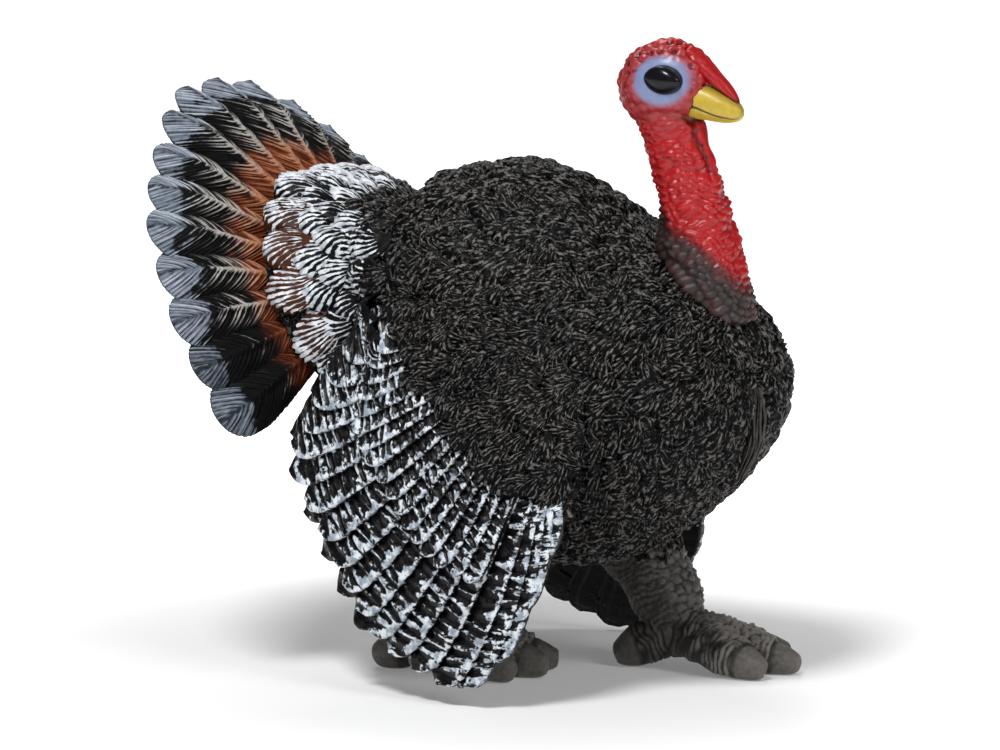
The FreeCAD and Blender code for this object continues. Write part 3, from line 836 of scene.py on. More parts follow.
def tail_coverts(material, black):
    tree = surface_tree("tail_coverts", "torso_shell_left", "torso_shell_right")
    wide = scale_templates(17, 9, 0.06, 21)
    small = scale_templates(11, 8, 0.08, 11)
    light_parts, dark_parts = [], []
    for ring, (arc, count, length, width) in enumerate(COVERT_RINGS):
        places, alongs, normals, brown, dark = covert_ring(tree, ring, arc, count)
        alongs, normals = unit(alongs), unit(normals)
        alongs = turned_in_plane(alongs, normals, 7)
        lift = rng.uniform(0.5, 0.9, len(places))
        size = rng.uniform(0.9, 1.1, (2, len(places)))
        for which, store, tint in ((dark, dark_parts, None), (~dark, light_parts, brown[~dark])):
            if which.any():
                store += stamp_scales(
                    wide if ring == 0 else small, places[which], alongs[which], normals[which],
                    length * size[0][which], width * size[1][which], lift[which],
                    crown=0.75, groove=0.36, sink=0.5, across=tint,
                )
    add_piece("tail_covert_feathers", light_parts, "tail_coverts", material)
    add_piece("tail_covert_dark_feathers", dark_parts, "tail_coverts", black)
    covert_bed(tree, black)


def covert_bed(tree, black):
    """The dark collar under the covert feathers, so that no gap shows between them."""
    columns, rows = 96, 24
    points = []
    for angle in np.linspace(0, 2 * math.pi, columns, endpoint=False):
        profile = covert_profile(tree, angle)
        toward = fan_direction(angle)
        for arc in np.linspace(0.8, 13, rows):
            r, z, out = on_profile(profile, arc)
            inside = 0.35 + 0.8 * smoothstep(10, 13, arc)
            points.append(toward * (r + inside * out[1]) + [0, 0, z - inside * out[0]])
    points = from_fan(np.array(points).reshape(columns, rows, 3).transpose(1, 0, 2).reshape(-1, 3))
    part = (points, grid_faces(rows, columns, closed=True), even_paint(points, 0.1))
    add_piece("tail_covert_bed", [part], "tail_coverts", black)


# ---- wings


WING_CENTRE_X = -2.0
WING_FOOT = (41.0, 23.0)
WING_HEAD = (36.0, 17.4)
WING_HEAD_HEIGHT = 40.0
LEFT_WING_SHIFT = np.array([-6.0, 0.0, -1.3])

# each flight feather: root x, root z, tip x, tip z, width
WING_FEATHERS = [
    (-6.0, 37.6, -17.0, 35.6, 4.6),
    (-6.0, 36.5, -20.0, 32.6, 5.0),
    (-5.0, 35.0, -22.8, 29.4, 5.4),
    (-4.0, 33.5, -24.9, 26.0, 5.4),
    (-3.0, 32.0, -25.9, 22.4, 5.4),
    (-2.0, 31.0, -24.0, 18.8, 5.4),
    (-1.0, 30.0, -20.8, 15.2, 5.4),
    (0.0, 29.0, -18.2, 11.8, 5.2),
    (1.0, 28.0, -15.6, 8.8, 5.2),
    (2.0, 27.0, -12.9, 6.0, 5.2),
    (3.0, 26.0, -9.4, 4.0, 5.2),
    (4.3, 25.5, -5.4, 2.5, 5.2),
    (5.2, 25.0, -2.0, 1.6, 4.8),
    (5.8, 25.0, 1.4, 3.6, 4.6),
    (6.1, 25.0, 4.0, 8.6, 4.4),
    (6.2, 25.0, 5.8, 13.6, 4.2),
]
ROOT_SINK = 1.3
UPPER_COVERTS = 11
UPPER_SHARE = 0.60
HIDDEN_TIPS = {-1: range(3, 9), 1: range(3, 12)}
RIGHT_WING_NARROWER = 1.3
# the front and top edge of the wing's blade, and the line where the black shoulder ends
BLADE_EDGE = [(-6.0, 38.2), (3.0, 36.0), (7.8, 31.0), (8.4, 24.0), (6.8, 19.0)]
SHOULDER_END = [
    (-12.0, 38.5), (-11.4, 36.6), (-8.9, 30.8), (-4.0, 26.4), (-0.5, 23.0), (3.2, 21.2), (7.6, 20.2),
]
SMALL_SPACING = 1.32


def wing_surface(x, z):
    """A point on the right wing's outer cone over each (x, z), and the outward normal there."""
    share = z / WING_HEAD_HEIGHT
    a = WING_FOOT[0] + (WING_HEAD[0] - WING_FOOT[0]) * share
    b = WING_FOOT[1] + (WING_HEAD[1] - WING_FOOT[1]) * share
    a_slope = (WING_HEAD[0] - WING_FOOT[0]) / WING_HEAD_HEIGHT
    b_slope = (WING_HEAD[1] - WING_FOOT[1]) / WING_HEAD_HEIGHT
    from_centre = x - WING_CENTRE_X
    f = np.sqrt(np.clip(1 - (from_centre / a) ** 2, 0.05, 1))
    rise = b_slope * f + b * from_centre**2 * a_slope / (a**3 * f)
    normal = np.stack([b * from_centre / (a**2 * f), -np.ones_like(f), -rise], -1)
    return np.stack([x, -b * f, z], -1), unit(normal)


def to_side(points, side):
    """The right wing's points, or the left wing's that mirror them."""
    return points if side < 0 else points * [1, -1, 1] + LEFT_WING_SHIFT


def vane_place(feather, share, side, lift, tilt, bend):
    """Maps a wing feather's own coordinates onto the wing's cone; its free edge is lifted."""
    root, tip = np.array(feather[:2]), np.array(feather[2:4])
    length = np.linalg.norm(tip - root)
    d = (tip - root) / length
    c = np.array([-d[1], d[0]])

    def place(x, y, z):
        t = y / length
        shifted = x + bend * 4 * t * (1 - t)
        wing_x, wing_z = (root[k] + d[k] * y + c[k] * shifted for k in (0, 1))
        surface, normal = wing_surface(wing_x, wing_z)
        height = z + lift + tilt * x - ROOT_SINK * (1 - smoothstep(0, 7.5, y))
        return to_side(surface + normal * height[..., None], side)

    return place, length * share


RUNG_ROWS = np.array([1.0, 0.75, 0.12, 0.0, 0.12, 0.75])


def vane(place, length, half_width, rung, slant, root_share, seed, white=1.0):
    """A closed barred feather: a raised free edge, and rungs that reach from it across the feather."""
    local = np.random.default_rng(seed)
    count = int((length - 0.9) / rung * 6)
    row = np.append(np.arange(count) * rung / 6, length - np.array([0.6, 0.3, 0.1, 0.02]))
    k = np.arange(len(row)) // 6
    rungs = k.max() + 1
    u = np.linspace(-1, 1, 19)
    lean = np.minimum((slant + local.uniform(-0.16, 0.16, rungs)[k]) * half_width, 0.4 * (length - row))
    wave = 0.10 * np.sin(2.6 * u[None] + local.uniform(0, 6.3, rungs)[k][:, None])
    wave = wave * smoothstep(length, length - 1.5, row)[:, None]
    y = np.clip(row[:, None] + u[None] * lean[:, None] + wave, 0, length - 0.01)
    tip_start = length - half_width * 1.25
    tip = np.sqrt(np.clip(1 - (np.maximum(y - tip_start, 0) / (length - tip_start)) ** 2, 0, 1))
    taper = root_share + (1 - root_share) * smoothstep(0, tip_start, y)
    x = u[None] * half_width * taper * tip
    strength = local.uniform(0.4, 1.0, rungs)[k]
    reach = local.uniform(-1.2, 0.2, rungs)[k]
    ridge = (RUNG_ROWS[np.arange(len(row)) % 6] * strength)[:, None]
    rung_height = ridge * smoothstep(reach[:, None] - 0.5, reach[:, None] + 0.15, u[None])
    ripple = 0.16 * np.sin(y * 2.1 + seed) + 0.12 * np.sin(y * 4.7 + 2 * seed)
    edge = smoothstep(0.52 + ripple, 0.84 + ripple, u[None] * np.ones_like(y))
    rim = smoothstep(length - 0.75, length - 0.35, y) * local.uniform(0.3, 0.8)
    back_edge = 0.45 * smoothstep(-0.86, -0.95, u[None] * np.ones_like(y))
    edge = np.maximum(np.maximum(edge, rim), back_edge)
    shaft_line = bell(u[None], -0.25, 0.12) * tip
    top = 0.22 * (1 - u[None] ** 2) + 0.26 * edge + 0.42 * rung_height * (1 - 0.6 * edge)
    under = -0.55 * (0.4 + 0.6 * tip) - 0.16 * shaft_line - 0.10 * ridge * tip
    near_tip = smoothstep(0.6, 1.0, y / length)
    relief = np.clip(0.06 + 0.62 * np.maximum(edge, rung_height * 1.1) + 0.14 * near_tip, 0, 1) * white
    return quill_mesh(place, x, y, top, under, relief, y / length, u, seed + row / length)


def feather_line(number):
    """The wing feather at a place between those of the table, numbered from 0."""
    return catmull(WING_FEATHERS, np.array([float(number)]))[0]


def wing(side, material, name):
    lower, upper, hidden = [], [], []
    last = len(WING_FEATHERS) - 1
    seed = 400 if side > 0 else 300
    for i in np.append(np.arange(0, 9.9, 0.75), np.arange(10.5, last + 0.1, 0.9)):
        late = smoothstep(8, 13, i)
        bend = 0.5 + 0.9 * late
        feather = feather_line(i)
        if side < 0:
            feather[[0, 2]] -= RIGHT_WING_NARROWER * smoothstep(10, 14, i)
        place, length = vane_place(feather, 1.0, side, -0.75 - 0.02 * i, 0.26, bend)
        half_width = feather[4] / 2 - 0.35 + 0.3 * late
        seed += 1
        lower.append(vane(place, length, half_width, 1.05 + 0.3 * late, -0.22, 0.42 + 0.12 * late, seed))
    for i in np.arange(0.3, UPPER_COVERTS, 0.62):
        late = smoothstep(8, 13, i)
        place, length = vane_place(feather_line(i), UPPER_SHARE - 0.03 * late, side, -0.10, 0.34, 0.4)
        seed += 1
        upper.append(vane(place, length, 1.38, 0.92, 0.05, 0.5, seed))
    for i in HIDDEN_TIPS[side]:
        feather = feather_line(i + 0.45)
        share = 1.05 if i < 9 else 0.97
        place, length = vane_place(feather, share, side, -1.35, 0.1, 0.5)
        seed += 1
        hidden.append(vane(place, length, 1.9, 1.3, 0.0, 0.5, seed, white=0.55))
    parts = lower + upper + hidden
    if side > 0:
        parts = [(points, faces[:, ::-1], paint) for points, faces, paint in parts]
    split = len(lower)
    add_piece(f"{name}_flight", parts[:split], name, material)
    add_piece(f"{name}_coverts", parts[split:], name, material)


def distance_to_line(points, line):
    """Distance in the plane from each point to a chain of segments."""
    best = np.full(len(points), 1e9)
    for a, b in zip(line[:-1], line[1:]):
        a, b = np.array(a), np.array(b)
        t = np.clip(((points - a) @ (b - a)) / np.sum((b - a) ** 2), 0, 1)
        best = np.minimum(best, np.linalg.norm(points - a - t[:, None] * (b - a), axis=1))
    return best


def inside(points, polygon):
    """Which points lie inside a closed outline in the plane."""
    x, z = points.T
    odd = np.zeros(len(points), bool)
    for (x1, z1), (x2, z2) in zip(polygon, polygon[1:] + polygon[:1]):
        crosses = (z1 > z) != (z2 > z)
        at = x1 + (z - z1) / (z2 - z1 if z2 != z1 else 1e-9) * (x2 - x1)
        odd ^= crosses & (x < at)
    return odd


def wing_shoulder(side, material, templates, name):
    """Small black feathers over the wing's root, which sink into the body at its front edge."""
    outline = BLADE_EDGE + SHOULDER_END[::-1]
    spots = np.stack([rng.uniform(-16, 9, 9000), rng.uniform(17, 39, 9000)], 1)
    spots = spots[inside(spots, outline)]
    points, normals = wing_surface(spots[:, 0], spots[:, 1])
    sink = 1.5 * (1 - smoothstep(0, 4.5, distance_to_line(spots, BLADE_EDGE)))
    points = points + normals * (0.35 - sink)[:, None]
    points, normals = thin_out(points, normals, SMALL_SPACING)
    flow = np.tile([-1.0, 0.0, -0.75], (len(points), 1))
    alongs = turned_in_plane(tangent(flow, normals), normals, 20)
    size = rng.uniform(0.85, 1.15, len(points))
    parts = stamp_scales(
        templates, points, alongs, normals, 2.75 * size, 2.4 * size,
        rng.uniform(0.2, 0.55, len(points)), crown=0.34, groove=0.34, sink=0.35,
    )
    if side > 0:
        parts = [(to_side(p, side), f[:, ::-1], paint) for p, f, paint in parts]
    add_piece(f"{name}_shoulder", parts, name, material)


# ---- skin: head, neck, beak, legs


def read(items, field, width, kind=np.float32):
    """A field of a mesh's items, one row for each item."""
    values = np.empty(len(items) * width, kind)
    items.foreach_get(field, values)
    return values.reshape(-1, width)

def cad_mesh(node):
    """A CAD node's triangles, in the drawing frame."""
    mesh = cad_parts[node].data
    mesh.calc_loop_triangles()
    points = read(mesh.vertices, "co", 3).astype(float) / MM - [ORIGIN_X, 0, 0]
    return points, read(mesh.loop_triangles, "vertices", 3, np.int32)


def surface_tree(*nodes):
    points, triangles, start = [], [], 0
    for node in nodes:
        p, t = cad_mesh(node)
        points.append(p)
        triangles.append(t + start)
        start += len(p)
    return BVHTree.FromPolygons(np.vstack(points).tolist(), np.vstack(triangles).tolist())


def even_skin(node, voxel, passes):
    """The CAD node's surface as a fine even mesh of quads, with its creases softened."""
    points, triangles = cad_mesh(node)
    mesh = bpy.data.meshes.new("skin")
    mesh.from_pydata(points.tolist(), [], triangles.tolist())
    holder = bpy.data.objects.new("skin", mesh)
    bpy.context.scene.collection.objects.link(holder)
    remesh = holder.modifiers.new("even", "REMESH")
    remesh.mode = "VOXEL"
    remesh.voxel_size = voxel
    result = holder.evaluated_get(bpy.context.evaluated_depsgraph_get()).to_mesh()
    points = read(result.vertices, "co", 3).astype(float)
    faces = read(result.polygons, "vertices", 4, np.int32)
    bpy.data.objects.remove(holder)
    bpy.data.meshes.remove(mesh)
    edges = np.vstack([faces[:, [i, (i + 1) % 4]] for i in range(4)])
    degree = np.bincount(edges[:, 0], minlength=len(points))[:, None]
    for _ in range(passes):
        total = np.stack([np.bincount(edges[:, 0], points[edges[:, 1], k], len(points)) for k in range(3)], 1)
        points = points * 0.4 + 0.6 * total / degree
    return points, faces


def mesh_normals(points, faces):
    a, b, c, d = (points[faces[:, i]] for i in range(4))
    face_normals = np.cross(c - a, d - b)
    normals = np.zeros_like(points)
    for corner in range(4):
        for k in range(3):
            normals[:, k] += np.bincount(faces[:, corner], face_normals[:, k], len(points))
    return unit(normals)


def cells(points, spacing, stretch=1.0):
    """Evenly spread lumps over a surface: their height, and how far a point is from a crease."""
    scaled = points * [1, 1, stretch]
    order = rng.permutation(len(points))
    seeds = scaled[order[scatter(scaled[order], spacing)]]
    first, second = np.empty(len(points)), np.empty(len(points))
    for start in range(0, len(points), 3000):
        block = scaled[start : start + 3000]
        gaps = np.linalg.norm(block[:, None] - seeds[None], axis=2)
        two = np.partition(gaps, 1, axis=1)[:, :2]
        first[start : start + 3000], second[start : start + 3000] = two[:, 0], two[:, 1]
    return np.exp(-((first / (0.52 * spacing)) ** 2)), smoothstep(0, 0.5 * spacing, second - first)


def nearness(points, node, reach):
    """1 on the surface of another CAD node, falling to 0 at the given distance from it."""
    tree = surface_tree(node)
    gaps = np.array([tree.find_nearest(Vector(p), reach)[3] or reach for p in points])
    return 1 - smoothstep(0, 1, gaps / reach)


EYE_CENTRE = (9.75, 3.3, 59.6)
EYE_RADII = (2.0, 0.95, 1.35)
RING_CENTRE = (9.5, 59.5)
RING_RADII = (2.9, 2.45)
PIT_SHARE = 0.95
# heights, and at each how far forward the neck's middle lies; the same for the dewlap's groove before it
NECK_LINE = ([36, 43, 50, 56], [13.2, 12.6, 10.7, 8.9])
GROOVE_LINE = ([50.0, 57.0], [3.4, 2.4])


def head_and_neck(material):
    points, faces = even_skin("neck_and_head", 0.16, 14)
    normals = mesh_normals(points, faces)
    x, y, z = points.T
    ring = np.hypot((x - RING_CENTRE[0]) / RING_RADII[0], (z - RING_CENTRE[1]) / RING_RADII[1])
    ring = np.where(np.abs(y) > 1.4, ring, 9.0)
    bare = smoothstep(0.85, 1.3, ring)
    forward = x - np.interp(z, *NECK_LINE)
    groove_x = np.interp(z, *GROOVE_LINE)
    dewlap = smoothstep(groove_x - 0.1, groove_x + 0.3, forward)
    dewlap = dewlap * smoothstep(47, 49.5, z) * smoothstep(58, 56.5, z)
    neck = smoothstep(57.5, 55, z)
    base = smoothstep(46.5, 43.0, z)
    crown_lumps, crown_flats = cells(points, 0.8)
    neck_lumps, neck_flats = cells(points + 0.45 * wobble(points, 1.8, 13)[:, None], 1.1, 1.7)
    base_lumps, base_flats = cells(points + 0.25 * wobble(points, 1.0, 12)[:, None], 0.85, 1.3)
    pits = 1 - smoothstep(0.17, 0.42, nearest_seed(points, 0.95, z > 58.5))
    pits = pits * bare * (1 - neck)
    lumps = crown_lumps * (1 - neck) + neck_lumps * neck * (1 - base) + base_lumps * base
    flats = crown_flats * (1 - neck) + neck_flats * neck * (1 - base) + base_flats * base
    swell = 0.16 + 0.24 * smoothstep(54, 47, z) - 0.12 * base
    height = (swell * lumps + 0.05 * flats) * bare * (1 - 0.9 * dewlap)
    height = height + 0.20 * wobble(points * [1, 1, 1.4], 1.5, 9) * bare
    groove = bell(forward, groove_x, 0.28) * (np.abs(y) > 0.6)
    groove = groove * smoothstep(48.5, 50.5, z) * smoothstep(57.0, 55.6, z)
    crease = np.maximum(nearness(points, "beak", 0.42), nearness(points, "snood", 0.35))
    eyelid = np.maximum(nearness(points, "eye_right", 0.3), nearness(points, "eye_left", 0.3))
    height = height - 0.30 * pits - 0.34 * groove - 0.15 * crease - 0.05 * eyelid
    height = height + 0.9 * smoothstep(47.5, 43.5, z) * np.clip(-normals[:, 0], 0, 1)
    # Relief is low in the creases between lumps, in the pits, in the dewlap groove and round the beak and
    # snood, and the eyelid channel marks the skin beside each eye; the skin's paint darkens both as painted
    # shade.
    relief = np.maximum(0.40 + 0.30 * flats + 0.3 * lumps, 1 - bare)
    relief = relief * (1 - crease) * (1 - 0.72 * groove) * (1 - pits)
    dark = smoothstep(49.4, 45.0, z + 0.95 * (x - 9) + 0.7 * wobble(points, 2.2, 4))
    paint = np.stack([relief, np.clip(1 - ring / 2.4, 0, 1), dark, 1 - eyelid], 1)
    points = points + normals * height[:, None]
    add_piece("head_and_neck", [(points, faces, paint)], "neck_and_head", material)


def nearest_seed(points, spacing, where):
    """Distance to the nearest of some randomly chosen, evenly spread spots on a surface."""
    order = rng.permutation(np.flatnonzero(where))
    seeds = points[order[scatter(points[order], spacing)]]
    seeds = seeds[rng.uniform(0, 1, len(seeds)) < PIT_SHARE]
    gaps = np.full(len(points), 9.0)
    for seed in seeds:
        gaps = np.minimum(gaps, np.linalg.norm(points - seed, axis=1))
    return gaps


def snood(material):
    """The smooth red ridge that lies on the beak, deep at the forehead and pointed at its end."""
    points, faces, t = stacked_sections(SNOOD, 90, 80, 2.1)
    normals = mesh_normals(points, faces)
    lumps = cells(points, 0.8)[0]
    height = 0.07 * wobble(points, 1.3, 31) + 0.20 * lumps * smoothstep(3.4, 1.2, t)
    crease = nearness(points, "beak", 0.35)
    points = points + normals * (height * smoothstep(len(SNOOD) - 1, len(SNOOD) - 2.5, t))[:, None]
    # Relief falls where the snood meets the beak: painted shade in that crease.
    paint = np.stack([1 - crease, np.zeros(len(points)), np.zeros(len(points)), np.ones(len(points))], 1)
    add_piece("snood_ridge", [(points, faces, paint)], "snood", material)


def stacked_sections(table, rows, columns, power):
    """A closed form of upright rounded sections (x, z, half width, half height) along the midplane."""
    t, phi = round_grid(np.linspace(0, len(table) - 1, rows), columns)
    row = catmull(table, t)
    side, up = np.sin(phi), np.cos(phi)
    round_off = (np.abs(side) ** power + np.abs(up) ** power) ** (-1 / power)
    y = np.abs(row[..., 2]) * side * round_off
    z = row[..., 1] + np.abs(row[..., 3]) * up * round_off
    points = np.stack([row[..., 0], y, z], -1).reshape(-1, 3)
    return points, grid_faces(rows, columns, closed=True)[:, ::-1], t.ravel()


# x, z, half width and half height of the beak, from inside the face to the tip
BEAK = [
    (10.6, 57.65, 1.95, 1.80),
    (12.6, 57.45, 1.90, 1.86),
    (14.6, 56.90, 1.58, 1.53),
    (15.8, 56.60, 1.22, 1.18),
    (16.4, 56.50, 0.92, 0.88),
    (16.75, 56.45, 0.52, 0.50),
    (16.85, 56.45, 0.02, 0.02),
]
MOUTH_LEVELS = (-0.10, -0.52, -0.70, -0.75)
# x, z, half width and half height of the snood, from the forehead to its end
SNOOD = [
    (10.6, 62.1, 0.9, 0.5),
    (11.4, 61.75, 1.25, 0.95),
    (12.4, 61.05, 1.25, 1.05),
    (13.4, 60.25, 1.12, 1.02),
    (14.3, 59.5, 0.96, 0.86),
    (15.1, 58.8, 0.80, 0.68),
    (15.8, 58.15, 0.60, 0.48),
    (16.3, 57.65, 0.36, 0.28),
    (16.5, 57.42, 0.02, 0.02),
]


def beak(material):
    points, faces, t = stacked_sections(BEAK, 130, 150, 2.3)
    row = catmull(BEAK, t)
    level = (points[:, 2] - row[:, 1]) / np.maximum(np.abs(row[:, 3]), 0.05)
    line = np.interp(t, [0, 2, 4, 5], MOUTH_LEVELS)
    mouth = bell(level, line, 0.075) * smoothstep(5.3, 4.7, t)
    centre = np.stack([row[:, 0], np.zeros(len(t)), row[:, 1]], 1)
    lower_lip = smoothstep(line + 0.02, line - 0.06, level)
    points = centre + (points - centre) * (1 - 0.09 * mouth - 0.05 * lower_lip)[:, None]
    points = points + mesh_normals(points, faces) * (0.03 * wobble(points, 1.0, 61))[:, None]
    paint = np.stack([1 - mouth, t / t.max(), (level + 1) / 2, np.full(len(t), 0.5)], 1)
    add_piece("beak_horn", [(points, faces, paint)], "beak", material)


def eye(side, material):
    """A glossy bulging almond, more pointed towards the beak."""
    rows, columns = 60, 90
    v, phi = round_grid(np.linspace(0.001, math.pi - 0.001, rows), columns, start=0.0)
    forward = np.sin(v) * np.cos(phi)
    narrow = 1 - 0.34 * np.maximum(forward, 0) ** 1.6 - 0.10 * np.maximum(-forward, 0) ** 2
    up = np.sin(v) * np.sin(phi) * narrow
    out = np.cos(v)
    x = EYE_CENTRE[0] + EYE_RADII[0] * forward
    y = side * (EYE_CENTRE[1] + EYE_RADII[1] * out * 0.95)
    z = EYE_CENTRE[2] + EYE_RADII[2] * (up - 0.10 * forward)
    points = np.stack([x, y, z], -1).reshape(-1, 3)
    faces = grid_faces(rows, columns, closed=True)
    paint = even_paint(points, 1.0)
    which = "left" if side > 0 else "right"
    faces = faces if side < 0 else faces[:, ::-1]
    add_piece(f"eye_{which}_ball", [(points, faces, paint)], f"eye_{which}", material)


# ---- legs


# ankle line of each leg (x, y, z), and where its toes end (x, y); the last toe is the hind one
LEGS = {
    "left": (
        [(0.9, 6.8, 14.5), (2.0, 6.9, 10.8), (3.9, 7.0, 8.0), (5.4, 7.0, 5.6), (6.0, 7.0, 4.0)],
        [(17.2, 4.4), (18.7, 9.3), (15.4, 13.4), (0.2, 4.6)],
    ),
    "right": (
        [(-6.6, -6.4, 14.5), (-8.6, -6.5, 10.8), (-10.6, -6.6, 8.0), (-12.3, -6.7, 5.6), (-12.9, -6.7, 4.0)],
        [(-3.2, -0.8), (-2.0, -5.2), (-3.4, -9.6), (-20.0, -8.6)],
    ),
}
CLAW_LENGTH = 2.6
ANKLE_SLIMMER = 1.0
ANKLE_FULLER = 0.5


def along_bones(points, bones):
    """For each point, the nearest bone's number, the length along it and the distance to its end."""
    best = np.full(len(points), 1e9)
    which, along, left = np.zeros(len(points), int), np.zeros(len(points)), np.zeros(len(points))
    for number, (a, b) in enumerate(bones):
        a, b = np.array(a), np.array(b)
        length = np.linalg.norm(b - a)
        t = np.clip(((points - a) @ (b - a)) / length**2, 0, 1)
        gap = np.linalg.norm(points - a - t[:, None] * (b - a), axis=1)
        near = gap < best
        best[near], which[near] = gap[near], number
        along[near], left[near] = t[near] * length, (1 - t[near]) * length
    return which, along, left


def leg(which, material):
    shank, toes = LEGS[which]
    points, faces = even_skin(f"leg_{which}", 0.16, 10)
    normals = mesh_normals(points, faces)
    palm = (*shank[-1][:2], 3.4)
    bones = [(shank[0], shank[-1])] + [(palm, (*toe, 1.3)) for toe in toes]
    number, along, left = along_bones(points, bones)
    claw = (number > 0) * (1 - smoothstep(CLAW_LENGTH - 0.3, CLAW_LENGTH + 0.3, left))
    warp = 0.75 * wobble(points, 2.4, 41) + 0.45 * wobble(points, 1.1, 42) + 0.25 * wobble(points, 0.5, 44)
    wave = np.sin(2 * math.pi * (along / 0.66 + warp))
    broken = smoothstep(-0.9, 0.5, wobble(points, 0.9, 46)) * (0.45 + 0.55 * (number > 0))
    wrinkle = (1 - np.abs(wave) ** 0.6 * (wave < 0)) * broken
    front = smoothstep(0.35, 0.8, normals[:, 0] * 0.85 + normals[:, 2] * 0.5)
    across_scales, across_flats = cells(points + 0.2 * warp[:, None], 0.62, 1.9)
    beads, bead_flats = cells(points, 0.85)
    plain = (left > CLAW_LENGTH) | (number == 0)
    height = 0.19 * wrinkle + 0.10 * across_scales * (number == 0) + 0.26 * beads * front * plain
    ankle = smoothstep(2.4, 0.5, along) * (number > 0)
    height = height * (1 - claw) * (1 - 0.4 * ankle)
    crease = bell(left, CLAW_LENGTH, 0.22) * (number > 0)
    height = height - 0.16 * crease + 0.06 * wobble(points, 0.8, 43) + 0.14 * wobble(points, 2.6, 45)
    height = height - ANKLE_SLIMMER * bell(points[:, 2], 7.4, 2.0) * np.clip(-normals[:, 0], 0, 1)
    height = height + ANKLE_FULLER * bell(points[:, 2], 7.8, 1.8) * np.clip(normals[:, 0], 0, 1)
    height = np.where(points[:, 2] < 0.4, 0, height)
    bumps = 0.55 * wrinkle + 0.16 * across_flats * (number == 0) + 0.40 * bead_flats * front
    relief = np.clip((0.26 + bumps) * (1 - claw) + 0.65 * claw - 0.5 * crease, 0, 1)
    toe = 0.7 * (number > 0) * (number < len(toes)) * smoothstep(1.5, 6.0, along)
    paint = np.stack([relief, claw, front, toe], 1)
    points = points + normals * height[:, None]
    points[:, 2] = np.maximum(points[:, 2], 0.0)
    add_piece(f"leg_{which}_skin", [(points, faces, paint)], f"leg_{which}", material)


def thigh_feathers(which, material, templates):
    """Small feathers that hide where a leg enters the belly."""
    points, triangles = cad_mesh(f"leg_{which}")
    corners = points[triangles]
    weights = rng.dirichlet((1, 1, 1), (len(triangles), 6))
    spots = np.einsum("nkc,ncd->nkd", weights, corners).reshape(-1, 3)
    facing = np.cross(corners[:, 1] - corners[:, 0], corners[:, 2] - corners[:, 0])
    normals = np.repeat(unit(facing), 6, axis=0)
    ragged = 12.0 + 0.7 * wobble(spots, 2.0, 51)
    keep = (spots[:, 2] > ragged) & (spots[:, 2] < 16)
    spots, normals = spots[keep], normals[keep]
    spots, normals = thin_out(spots, normals, SMALL_SPACING)
    alongs = turned_in_plane(tangent(np.tile([-0.3, 0, -1.0], (len(spots), 1)), normals), normals, 20)
    size = rng.uniform(0.8, 1.1, len(spots))
    parts = stamp_scales(
        templates, spots, alongs, normals, 2.7 * size, 2.4 * size, 0.3 * size, crown=0.3, groove=0.3, sink=0.3
    )
    add_piece(f"thigh_{which}_feathers", parts, f"leg_{which}", material)


# ---- beard


BEARD = [(18.5, 30.0, 0.55), (18.9, 26.8, 0.70), (18.3, 23.6, 0.60), (17.0, 20.4, 0.25)]
BEARD_STRANDS = 30
BEARD_ASIDE = -0.5


def beard(material):
    parts = []
    rows, columns = 26, 7
    t = np.linspace(0, len(BEARD) - 1, rows)
    for i in range(BEARD_STRANDS):
        turn, reach = i * 2.4, math.sqrt((i + 0.5) / BEARD_STRANDS)
        end = rng.uniform(0.86, 1.0)
        line = catmull(BEARD, t * end)
        wave = 0.12 * np.sin(t * rng.uniform(2, 4) + rng.uniform(0, 6))
        x = line[:, 0] + line[:, 2] * reach * math.cos(turn) + wave
        y = BEARD_ASIDE + line[:, 2] * reach * math.sin(turn) + wave
        radius = 0.2 * (1 - 0.75 * (t / t.max()) ** 3)
        phi = np.linspace(0, 2 * math.pi, columns, endpoint=False)
        px = x[:, None] + radius[:, None] * np.cos(phi)[None]
        py = y[:, None] + radius[:, None] * np.sin(phi)[None]
        pz = line[:, 1][:, None] + np.zeros((1, columns))
        points = np.stack([px, py, pz], -1).reshape(-1, 3)
        paint = np.zeros((rows, columns, 4))
        # Each strand is lighter on its forward side and darker behind: painted highlight and shade.
        paint[..., 0] = 0.4 + 0.4 * np.cos(phi)[None]
        paint[..., 1] = (t / t.max())[:, None]
        paint[..., 3] = i / BEARD_STRANDS
        parts.append((points, grid_faces(rows, columns, closed=True)[:, ::-1], paint.reshape(-1, 4)))
    add_piece("beard_strands", parts, "beard", material)


# ---- the lights, floor and camera

CAMERA_AZIMUTH = 31
CAMERA_ELEVATION = 7
CAMERA_DISTANCE = 0.450
VIEW_WIDTH = 0.100
SENSOR_WIDTH = 36.0
AIM_RIGHT = -9.0
AIM_UP = 29.7
LIGHT_AIM = Vector((0, 0, 0.03))
# azimuth, elevation, distance, size and power
LIGHTS = {
    "key": (5, 58, 0.55, 0.14, 2.4),
    "fill": (80, 38, 0.60, 0.22, 0.9),
    "rim": (215, 50, 0.60, 0.20, 0.8),
}
FLOOR_GLOW = (0.16, 1.0)
FLOOR_GLOW_REACH = (0.028, 0.110)
FLOOR_HALF_WIDTH = 2.5
FLOOR_NEAR = -1.4
FLOOR_FAR = 3.2
SWEEP_RADIUS = 0.8
WORLD_GLOW = 0.12

def direction(azimuth, elevation):
    """Unit vector from the figure to a camera or light; azimuth 0 is square to its right side."""
    a, e = math.radians(azimuth), math.radians(elevation)
    return Vector((math.sin(a) * math.cos(e), -math.cos(a) * math.cos(e), math.sin(e)))

def put(name, data, aim, back, distance):
    """Adds a camera or light that looks at aim from a direction and a distance."""
    thing = bpy.data.objects.new(name, data)
    thing.location = aim + back * distance
    thing.rotation_euler = back.to_track_quat("Z", "Y").to_euler()
    bpy.context.scene.collection.objects.link(thing)
    return thing

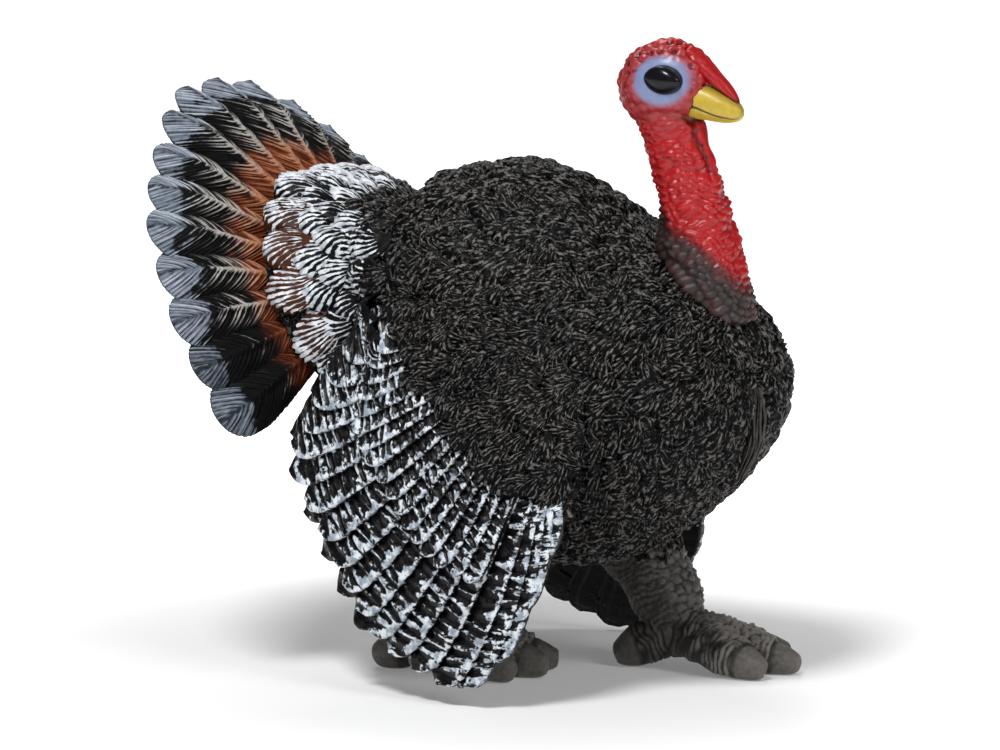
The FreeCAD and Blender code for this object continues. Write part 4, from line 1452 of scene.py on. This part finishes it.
def camera_axes():
    a = math.radians(CAMERA_AZIMUTH)
    back = direction(CAMERA_AZIMUTH, CAMERA_ELEVATION)
    right = Vector((math.cos(a), math.sin(a), 0))
    return right, back.cross(right), back

def add_camera():
    right, up, back = camera_axes()
    data = bpy.data.cameras.new("camera")
    data.sensor_width = SENSOR_WIDTH
    data.lens = SENSOR_WIDTH * CAMERA_DISTANCE / VIEW_WIDTH
    data.clip_start = 0.01
    aim = (right * AIM_RIGHT + up * AIM_UP + Vector((ORIGIN_X, 0, 0))) * MM
    bpy.context.scene.camera = put("camera", data, aim, back, CAMERA_DISTANCE)

def add_light(name, azimuth, elevation, distance, size, power):
    data = bpy.data.lights.new(name, "AREA")
    data.shape = "DISK"
    data.size = size
    data.energy = power
    put(name, data, LIGHT_AIM, direction(azimuth, elevation), distance)

def add_stage():
    """A pale sweep: flat floor that curves up far behind the figure."""
    profile = [(FLOOR_NEAR, 0.0), (FLOOR_FAR, 0.0)]
    for b in np.linspace(0, math.pi / 2, 24)[1:]:
        profile.append((FLOOR_FAR + SWEEP_RADIUS * math.sin(b), SWEEP_RADIUS * (1 - math.cos(b))))
    right, _, back = camera_axes()
    away = Vector((-back.x, -back.y, 0)).normalized()
    verts = []
    for d, h in profile:
        verts += [right * (side * FLOOR_HALF_WIDTH) + away * d + Vector((0, 0, h)) for side in (-1, 1)]
    mesh = bpy.data.meshes.new("studio_floor")
    mesh.from_pydata([v[:] for v in verts], [], grid_faces(len(profile), 2).tolist())
    for polygon in mesh.polygons:
        polygon.use_smooth = True
    floor = bpy.data.objects.new("studio_floor", mesh)
    floor.data.materials.append(floor_material())
    bpy.context.scene.collection.objects.link(floor)

def add_world():
    world = bpy.data.worlds.new("studio")
    world.use_nodes = True
    background = world.node_tree.nodes["Background"]
    background.inputs["Color"].default_value = (1, 1, 1, 1)
    background.inputs["Strength"].default_value = WORLD_GLOW
    bpy.context.scene.world = world

def add_studio():
    add_world()
    add_stage()
    for name, settings in LIGHTS.items():
        add_light(name, *settings)
    bpy.context.scene.view_settings.view_transform = "Standard"

def main():
    add_camera()
    add_studio()
    black = black_feather_material()
    small = scale_templates(9, 7, 0.12, 1)
    torso_core(black)
    body_feathers(black, small)
    tail_fan(fan_material())
    tail_coverts(covert_material(), black)
    barred = wing_material()
    for side, which in ((-1, "right"), (1, "left")):
        wing(side, barred, f"wing_{which}")
        wing_shoulder(side, black, small, f"wing_{which}")
        eye(side, eye_material())
    skin = skin_material()
    head_and_neck(skin)
    snood(skin)
    beak(beak_material())
    scales = leg_material()
    for which in LEGS:
        leg(which, scales)
        thigh_feathers(which, black, small)
    beard(beard_material())


main()
